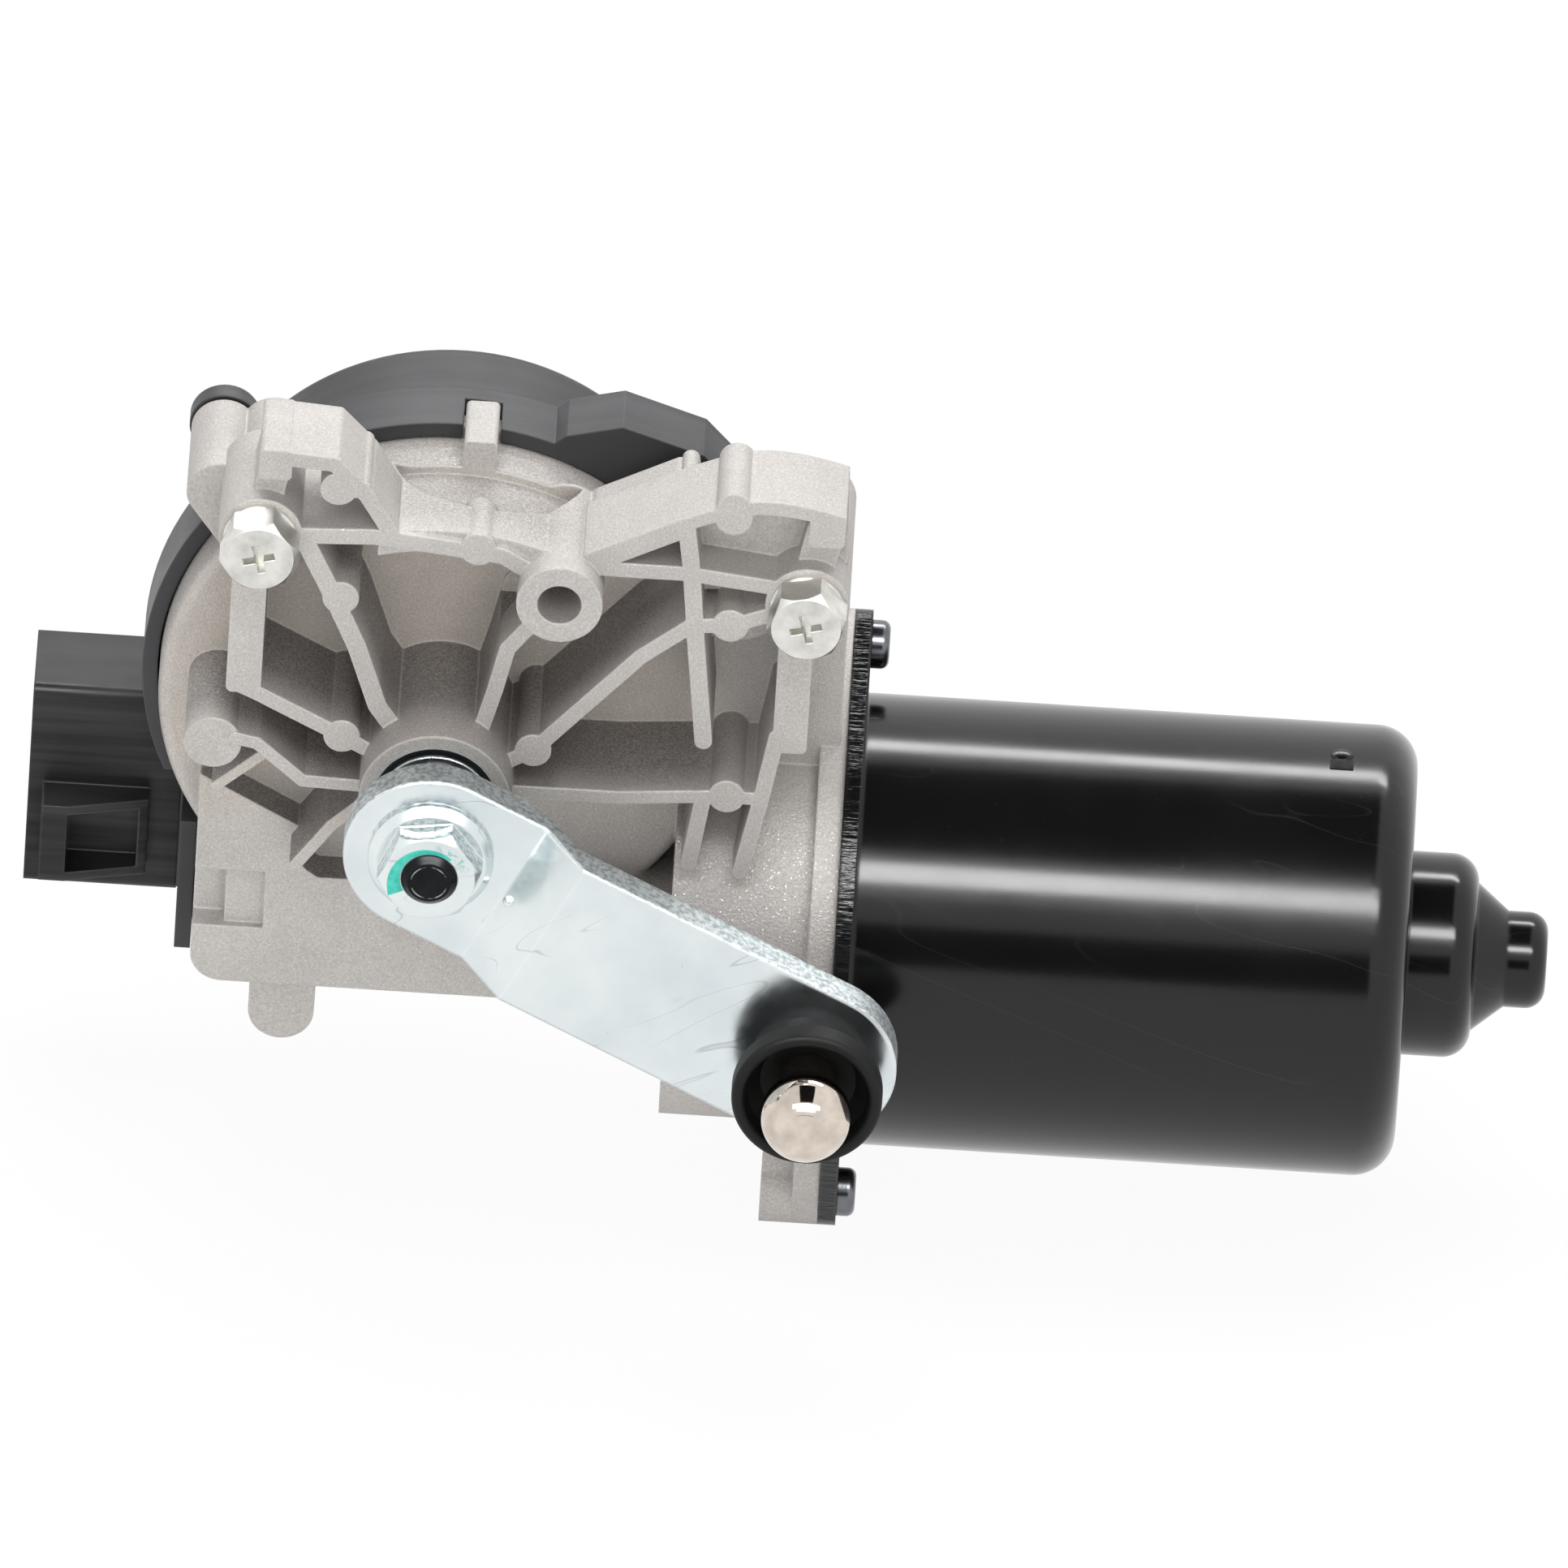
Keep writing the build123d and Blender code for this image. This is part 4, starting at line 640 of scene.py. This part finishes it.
def merged_copy(node, name):
    """A copy of a CAD piece with its triangles joined and its flat faces whole."""
    piece = bpy.data.objects.new(name, nodes[node].data.copy())
    bpy.context.scene.collection.objects.link(piece)
    select_only(piece)
    bpy.ops.object.mode_set(mode="EDIT")
    bpy.ops.mesh.select_all(action="SELECT")
    bpy.ops.mesh.customdata_custom_splitnormals_clear()
    bpy.ops.mesh.remove_doubles(threshold=0.002 * MM)
    bpy.ops.mesh.dissolve_limited(angle_limit=FLAT_ANGLE)
    bpy.ops.object.mode_set(mode="OBJECT")
    return piece


def round_over(piece, wanted, width):
    """Rounds a piece's edges over where they lie in a wanted place."""
    select_edges(piece, wanted)
    bpy.ops.mesh.bevel(offset=width, offset_type="OFFSET", segments=8, profile=0.5, affect="EDGES")
    bpy.ops.object.mode_set(mode="OBJECT")


def close_pit(piece, wanted):
    """Removes a pit's points and closes the faces it went through."""
    select_edges(piece, wanted)
    bpy.ops.mesh.select_mode(type="VERT")
    bpy.ops.mesh.delete(type="VERT")
    bpy.ops.mesh.select_all(action="SELECT")
    bpy.ops.mesh.fill_holes(sides=0)
    bpy.ops.mesh.select_all(action="SELECT")
    bpy.ops.mesh.dissolve_limited(angle_limit=FLAT_ANGLE)
    bpy.ops.mesh.normals_make_consistent(inside=False)
    bpy.ops.object.mode_set(mode="OBJECT")


def stand_for(piece, node):
    """Lets a finished copy stand for its CAD piece, with even shading over its joined faces."""
    settle(piece, piece.name, "motor", nodes[node].data.materials[0])
    even = piece.modifiers.new("Even Shading", "WEIGHTED_NORMAL")
    even.keep_sharp = True
    apply_modifiers(piece)
    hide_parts(node)


class MOTOR_OT_stage(bpy.types.Operator):
    """Adds the floor, the lamps and the camera"""
    bl_idname = "motor.stage"
    bl_label = "Stage"

    def execute(self, context):
        settings = context.scene.motor_stage
        floor_size, floor_x, gap = 6.0, 50 * MM, 0.2 * MM
        deselect()
        bpy.ops.mesh.primitive_plane_add(size=floor_size, location=(floor_x, 0.0, frame_box[0].z - gap))
        floor = context.active_object
        floor.name = "Floor"
        floor.data.materials.append(self.floor_paper(settings))
        self.add_lamps(context, settings)
        self.add_flags(context, settings)
        self.add_world(context, settings)
        self.add_camera(context, settings)
        return {"FINISHED"}

    def floor_paper(self, settings):
        """White paper: its own light to the camera and in reflections, and the motor's shadow."""
        made, tree, shader = start_material("White Paper", 0.0, 0.8)
        shade = mix_colour(tree, noise(tree, object_place(tree), 3.0), tuple(settings.floor_colour),
                           (0.86, 0.86, 0.86, 1.0))
        tree.links.new(shade, shader.inputs["Base Color"])
        shader.inputs["Specular IOR Level"].default_value = 0.1
        white = add_node(tree, "ShaderNodeEmission", {"Color": (1, 1, 1, 1), "Strength": 1.0})
        share = math_node(tree, "MULTIPLY", self.seen_rays(tree), 1.0 - settings.floor_shadow)
        both = tree.nodes.new("ShaderNodeMixShader")
        tree.links.new(share, both.inputs[0])
        tree.links.new(shader.outputs[0], both.inputs[1])
        tree.links.new(white.outputs[0], both.inputs[2])
        tree.links.new(both.outputs[0], tree.nodes["Material Output"].inputs["Surface"])
        return made

    def seen_rays(self, tree):
        """1 for the camera's rays and for rays from gloss and glass, 0 for soft light."""
        path = tree.nodes.new("ShaderNodeLightPath")
        kinds = [path.outputs[f"Is {kind} Ray"] for kind in ("Camera", "Glossy", "Transmission")]
        return math_node(tree, "ADD", math_node(tree, "ADD", kinds[0], kinds[1]), kinds[2], clamp=True)

    def stand(self, holder, height, distance):
        """Stands a lamp or a flag over the motor, facing it, at an angle above the front horizon."""
        middle = 60 * MM
        aim = Vector((middle, motor_axis.y, motor_axis.z))
        toward = Vector((0, -cos(height), sin(height)))
        holder.location = aim + toward * distance
        holder.rotation_mode = "QUATERNION"
        holder.rotation_quaternion = toward.to_track_quat("Z", "Y")

    def add_lamps(self, context, settings):
        """Strips that only gloss shows, soft lamps that only matte faces show, and a large front lamp."""
        # Name, height in degrees above the front horizon, distance, width and depth, power
        lamps = [
            ("Front Strip", 55.5, 0.75, (0.9, 0.13), settings.strip_power * 2.2),
            ("Back Strip", 131.0, 0.75, (0.7, 0.09), settings.strip_power),
            ("Key", 54.0, 1.5, (1.3, 0.55), settings.key_power),
            ("Soft Front", 18.0, 1.5, (1.2, 0.8), settings.soft_power * 0.5),
            ("Soft Top", 98.0, 1.5, (1.2, 0.8), settings.soft_power),
        ]
        for name, height, distance, size, power in lamps:
            lamp = bpy.data.lights.new(name, "AREA")
            lamp.shape = "RECTANGLE"
            lamp.size, lamp.size_y = size
            lamp.energy = power
            holder = bpy.data.objects.new(name, lamp)
            context.scene.collection.objects.link(holder)
            holder.visible_glossy = not name.startswith("Soft")
            holder.visible_diffuse = not name.endswith("Strip")
            self.stand(holder, radians(height), distance)

    def add_flags(self, context, settings):
        """Dark flags beside the lamps, seen only in reflections, as wide as the gaps between the lamps."""
        made, tree, shader = start_material("Flag Cloth", 0.0, 0.9)
        weave = noise(tree, object_place(tree), 40.0)
        tree.links.new(mix_colour(tree, weave, tuple(settings.flag_colour), (0.02, 0.02, 0.02, 1.0)),
                       shader.inputs["Base Color"])
        shader.inputs["Specular IOR Level"].default_value = 0.0
        distance, width = 1.9, 1.1
        for name, low, high in (("Front Flag", 9.0, 30.0), ("Top Flag", 68.0, 119.0)):
            deselect()
            bpy.ops.mesh.primitive_plane_add(size=1.0)
            flag = context.active_object
            flag.name = name
            flag.scale = (width, 2 * distance * tan(radians((high - low) / 2)), 1.0)
            self.stand(flag, radians((high + low) / 2), distance)
            flag.visible_camera = False
            flag.visible_diffuse = False
            flag.visible_shadow = False
            flag.visible_transmission = False
            flag.data.materials.append(made)

    def add_world(self, context, settings):
        """A plain world: soft light for the motor, and white to the camera and in reflections."""
        world = bpy.data.worlds.new("Studio")
        world.use_nodes = True
        context.scene.world = world
        tree = world.node_tree
        background = tree.nodes["Background"]
        share = add_node(tree, "ShaderNodeMapRange", {"To Min": settings.world_strength, "To Max": 1.0})
        tree.links.new(self.seen_rays(tree), share.inputs["Value"])
        background.inputs["Color"].default_value = (1, 1, 1, 1)
        tree.links.new(share.outputs[0], background.inputs["Strength"])

    def add_camera(self, context, settings):
        """A long lens at the picture's angle, with the picture's roll and framing."""
        picture_side = 1932
        shaft_pixel = (535.5, 988.0)
        shaft_point = Vector((0.0, -6.9 * MM, 0.0))
        right = Vector((1, 0, 0))
        up = Vector((0, sin(settings.camera_height), cos(settings.camera_height)))
        look = Vector((0, cos(settings.camera_height), -sin(settings.camera_height)))
        roll = settings.camera_roll
        picture_right = right * cos(roll) + up * sin(roll)
        picture_up = up * cos(roll) - right * sin(roll)
        metres_per_pixel = MM / settings.pixels_per_mm
        across = (picture_side / 2 - shaft_pixel[0]) * metres_per_pixel
        above = (shaft_pixel[1] - picture_side / 2) * metres_per_pixel
        aim = shaft_point + picture_right * across + picture_up * above
        camera = bpy.data.cameras.new("Camera")
        camera.sensor_width = 36.0
        camera.lens = camera.sensor_width * settings.camera_distance / (picture_side * metres_per_pixel)
        camera.clip_end = 50.0
        holder = bpy.data.objects.new("Camera", camera)
        context.scene.collection.objects.link(holder)
        turned = Matrix((picture_right, picture_up, -look)).transposed()
        holder.matrix_world = Matrix.Translation(aim - look * settings.camera_distance) @ turned.to_4x4()
        context.scene.camera = holder


class MOTOR_OT_housing(bpy.types.Operator):
    """Finishes the ribbed casting and rounds its lower left corner"""
    bl_idname = "motor.housing"
    bl_label = "Gear Housing"

    def execute(self, context):
        settings = context.scene.motor_metal
        paint(["gear_housing"], cast_aluminium(settings))
        housing = merged_copy("gear_housing", "housing_rounded")
        corner_x, corner_z, corner_radius = -33.7 * MM, -44.7 * MM, 4.5 * MM
        round_over(housing, lambda spot: near(spot.x, corner_x) and near(spot.z, corner_z), corner_radius)
        stand_for(housing, "gear_housing")
        return {"FINISHED"}


class MOTOR_OT_can(bpy.types.Operator):
    """Finishes the painted can and the dark screws, rounds the can's nose and adds its lanced mark"""
    bl_idname = "motor.can"
    bl_label = "Motor Can"

    def execute(self, context):
        settings = context.scene.motor_metal
        paint(["motor_can"], can_paint(settings))
        can = merged_copy("motor_can", "can_rounded")
        nose_radius, nose_rounding = 6.9 * MM, 2.8 * MM
        pit_radius, pit_depth = 2.6 * MM, 1.75 * MM
        close_pit(can, lambda spot: spot.x > can_high.x - pit_depth and motor_radius(spot) < pit_radius)
        round_over(can, lambda spot: near(spot.x, can_high.x) and near(motor_radius(spot), nose_radius),
                   nose_rounding)
        stand_for(can, "motor_can")
        self.add_lance_mark(can.data.materials[0])
        paint(["can_screws", "cover_screws"], plain_metal("Dark Screw", tone(120, 122, 126), 0.24))
        return {"FINISHED"}

    def add_lance_mark(self, can_finish):
        """A small lanced mark on top of the can: an oval tab behind a near-black block, painted shade that
        stands for the slot's dark opening.
        """
        along, top = 128.7 * MM, motor_axis.z + can_radius
        deselect()
        bpy.ops.mesh.primitive_uv_sphere_add(segments=32, ring_count=16, radius=1.0)
        tab = bpy.context.active_object
        tab.scale = (1.65 * MM, 1.4 * MM, 0.45 * MM)
        tab.location = (along, motor_axis.y + 0.1 * MM, top)
        tab.rotation_euler = (radians(12), 0, 0)
        settle(tab, "lance_tab", "motor", can_finish)
        # The slot's dark opening is a near-black block laid into the can's top: painted shade, not a hole
        bpy.ops.mesh.primitive_cube_add(size=1.0)
        slot = bpy.context.active_object
        slot.scale = (3.4 * MM, 2.5 * MM, 0.3 * MM)
        slot.location = (along, motor_axis.y - 2.0 * MM, top - 0.13 * MM)
        bpy.ops.object.transform_apply(location=False, rotation=False, scale=True)
        soften(slot, 0.1 * MM)
        dark = plain_matter("Slot Painted Shade", tone(9, 9, 9), 0.9, 800.0)
        settle(slot, "lance_slot_painted_shade", "motor", dark)


class MOTOR_OT_cover(bpy.types.Operator):
    """Finishes the rear cover, the seals, the connector and the park switch"""
    bl_idname = "motor.cover"
    bl_label = "Cover and Connector"

    def execute(self, context):
        settings = context.scene.motor_moulding
        paint(["rear_cover"], moulded_plastic("Cover Plastic", settings.cover_colour, (0.3, 6.0, 0.3)))
        paint(["connector_housing"],
              moulded_plastic("Connector Plastic", settings.plug_colour, (0.25, 1.0, 8.0)))
        paint(["cover_gasket", "shaft_seal"], rubber("Seal Rubber", tone(24, 30, 31)))
        paint(["terminal_pins", "park_fingers", "park_disc"],
              plain_metal("Tinned Brass", tone(206, 198, 172), 0.3))
        paint(["park_switch_card"], plain_matter("Card", tone(128, 92, 52), 0.6, 800.0))
        return {"FINISHED"}


class MOTOR_OT_crank(bpy.types.Operator):
    """Finishes the crank and its shaft, the pale screws and the springs, and adds the pip and the mark"""
    bl_idname = "motor.crank"
    bl_label = "Crank"

    def execute(self, context):
        metal = context.scene.motor_metal
        moulding = context.scene.motor_moulding
        paint(["crank_arm"], zinc_plate("Arm Zinc", metal, radians(26.5), 1.0 * MM, 0.48))
        paint(["crank_nut", "thrust_washer"],
              zinc_plate("Nut Zinc", metal, 0.0, 0.4 * MM, 0.2, tuple(metal.mark_colour)))
        paint(["mounting_screws"], plain_metal("Pale Screw", tone(234, 233, 227), 0.36))
        paint(["output_shaft"], plain_metal("Black Oxide", tone(40, 41, 42), 0.32, (1.0, 8.0, 1.0), 2.6 * MM))
        paint(["retaining_ring", "brush_springs"], plain_metal("Spring Steel", tone(120, 120, 122), 0.3))
        paint(["ball_stud"], plain_metal("Nickel", tone(224, 212, 200), 0.06))
        paint(["ball_boot"], rubber("Boot Rubber", moulding.rubber_colour))
        self.add_torque_mark(metal)
        self.add_pip()
        return {"FINISHED"}

    def add_pip(self):
        """A small raised pip on the arm's face, next to the nut."""
        place = (11.5 * MM, nut_face + 5.2 * MM, -6.1 * MM)
        deselect()
        bpy.ops.mesh.primitive_uv_sphere_add(segments=32, ring_count=16, radius=0.9 * MM, location=place)
        pip = bpy.context.active_object
        settle(pip, "arm_pip", "output", nodes["crank_arm"].data.materials[0])

    def add_torque_mark(self, metal):
        """A brushed stripe of paint on the nut's face round the shaft, wider towards its lower end."""
        start, sweep, steps = radians(50), radians(154), 30
        inner, narrow, wide, first = 4.15 * MM, 0.45 * MM, 2.3 * MM, 0.2 * MM
        face = nut_face - 0.02 * MM
        deselect()
        bpy.ops.mesh.primitive_plane_add(size=1.0, rotation=(pi / 2, 0, 0))
        mark = bpy.context.active_object
        mark.scale = (narrow, first, 1.0)
        mark.location = (inner + narrow / 2, face, 0)
        bpy.ops.object.transform_apply(location=True, rotation=True, scale=True)
        select_edges(mark, lambda spot: spot.z > 0)
        growth = (wide / narrow) ** (1 / steps)
        for step in range(1, steps + 1):
            angle = sweep * step / steps
            bpy.ops.mesh.extrude_edges_move()
            bpy.ops.transform.rotate(value=sweep / steps, orient_axis="Y", center_override=(0, face, 0))
            pivot = (inner * cos(angle), face, inner * sin(angle))
            bpy.ops.transform.resize(value=(growth,) * 3, center_override=pivot)
        bpy.ops.mesh.select_all(action="SELECT")
        bpy.ops.transform.rotate(value=start, orient_axis="Y", center_override=(0, face, 0))
        bpy.ops.object.mode_set(mode="OBJECT")
        solid = mark.modifiers.new("Thickness", "SOLIDIFY")
        solid.thickness = 0.16 * MM
        solid.offset = 0
        soften(mark, 0.06 * MM)
        made, tree, shader = start_material("Torque Mark Paint", 0.0, 0.35)
        worn = ramp(tree, noise(tree, object_place(tree), 700.0, 4.0), [(0.4, 0.0), (0.6, 1.0)])
        colour = mix_colour(tree, worn, tuple(metal.mark_colour), tone(70, 196, 180))
        tree.links.new(colour, shader.inputs["Base Color"])
        tree.links.new(bump(tree, worn, 0.3, 0.1 * MM), shader.inputs["Normal"])
        settle(mark, "torque_mark", "output", made)


class MOTOR_OT_inside(bpy.types.Operator):
    """Finishes the pieces inside the motor"""
    bl_idname = "motor.inside"
    bl_label = "Inner Pieces"

    def execute(self, context):
        paint(["worm_end_bush", "armature_front_bush", "can_bush", "output_bushes"],
              plain_metal("Sintered Bronze", tone(170, 128, 78), 0.45))
        paint(["armature_shaft", "thrust_ball"], plain_metal("Ground Steel", tone(190, 190, 190), 0.22))
        paint(["armature_core"], plain_metal("Core Sheet", tone(120, 124, 130), 0.4, (12.0, 1.0, 1.0)))
        paint(["armature_windings", "commutator"],
              plain_metal("Copper", tone(196, 112, 66), 0.32, (1.0, 6.0, 6.0)))
        paint(["magnets"], plain_matter("Ferrite", tone(62, 62, 66), 0.5, 500.0))
        paint(["brushes"], plain_matter("Carbon", tone(48, 48, 50), 0.45, 900.0))
        paint(["brush_plate"], plain_matter("Plate Plastic", tone(58, 50, 40), 0.5, 300.0))
        paint(["worm_wheel"], plain_matter("Gear Plastic", tone(226, 220, 200), 0.42, 160.0))
        return {"FINISHED"}


class MOTOR_PT_dressing(bpy.types.Panel):
    """Lists the motor's pieces and their settings"""
    bl_idname = "MOTOR_PT_dressing"
    bl_label = "Wiper Motor"
    bl_space_type = "VIEW_3D"
    bl_region_type = "UI"
    bl_category = "Wiper Motor"

    def draw(self, context):
        for operator in operators:
            self.layout.operator(operator.bl_idname)
        for settings in (context.scene.motor_stage, context.scene.motor_metal, context.scene.motor_moulding):
            box = self.layout.box()
            for name in settings.__annotations__:
                box.prop(settings, name)


operators = (MOTOR_OT_stage, MOTOR_OT_housing, MOTOR_OT_can, MOTOR_OT_cover, MOTOR_OT_crank, MOTOR_OT_inside)
classes = (MotorStageSettings, MotorMetalSettings, MotorMouldingSettings) + operators + (MOTOR_PT_dressing,)


def register():
    for each in classes:
        bpy.utils.register_class(each)
    bpy.types.Scene.motor_stage = bpy.props.PointerProperty(type=MotorStageSettings)
    bpy.types.Scene.motor_metal = bpy.props.PointerProperty(type=MotorMetalSettings)
    bpy.types.Scene.motor_moulding = bpy.props.PointerProperty(type=MotorMouldingSettings)


def unregister():
    del bpy.types.Scene.motor_moulding
    del bpy.types.Scene.motor_metal
    del bpy.types.Scene.motor_stage
    for each in reversed(classes):
        bpy.utils.unregister_class(each)


def main():
    register()
    bpy.context.scene.view_settings.view_transform = "Standard"
    bpy.ops.motor.stage()
    bpy.ops.motor.housing()
    bpy.ops.motor.can()
    bpy.ops.motor.cover()
    bpy.ops.motor.crank()
    bpy.ops.motor.inside()


if __name__ == "__main__":
    main()
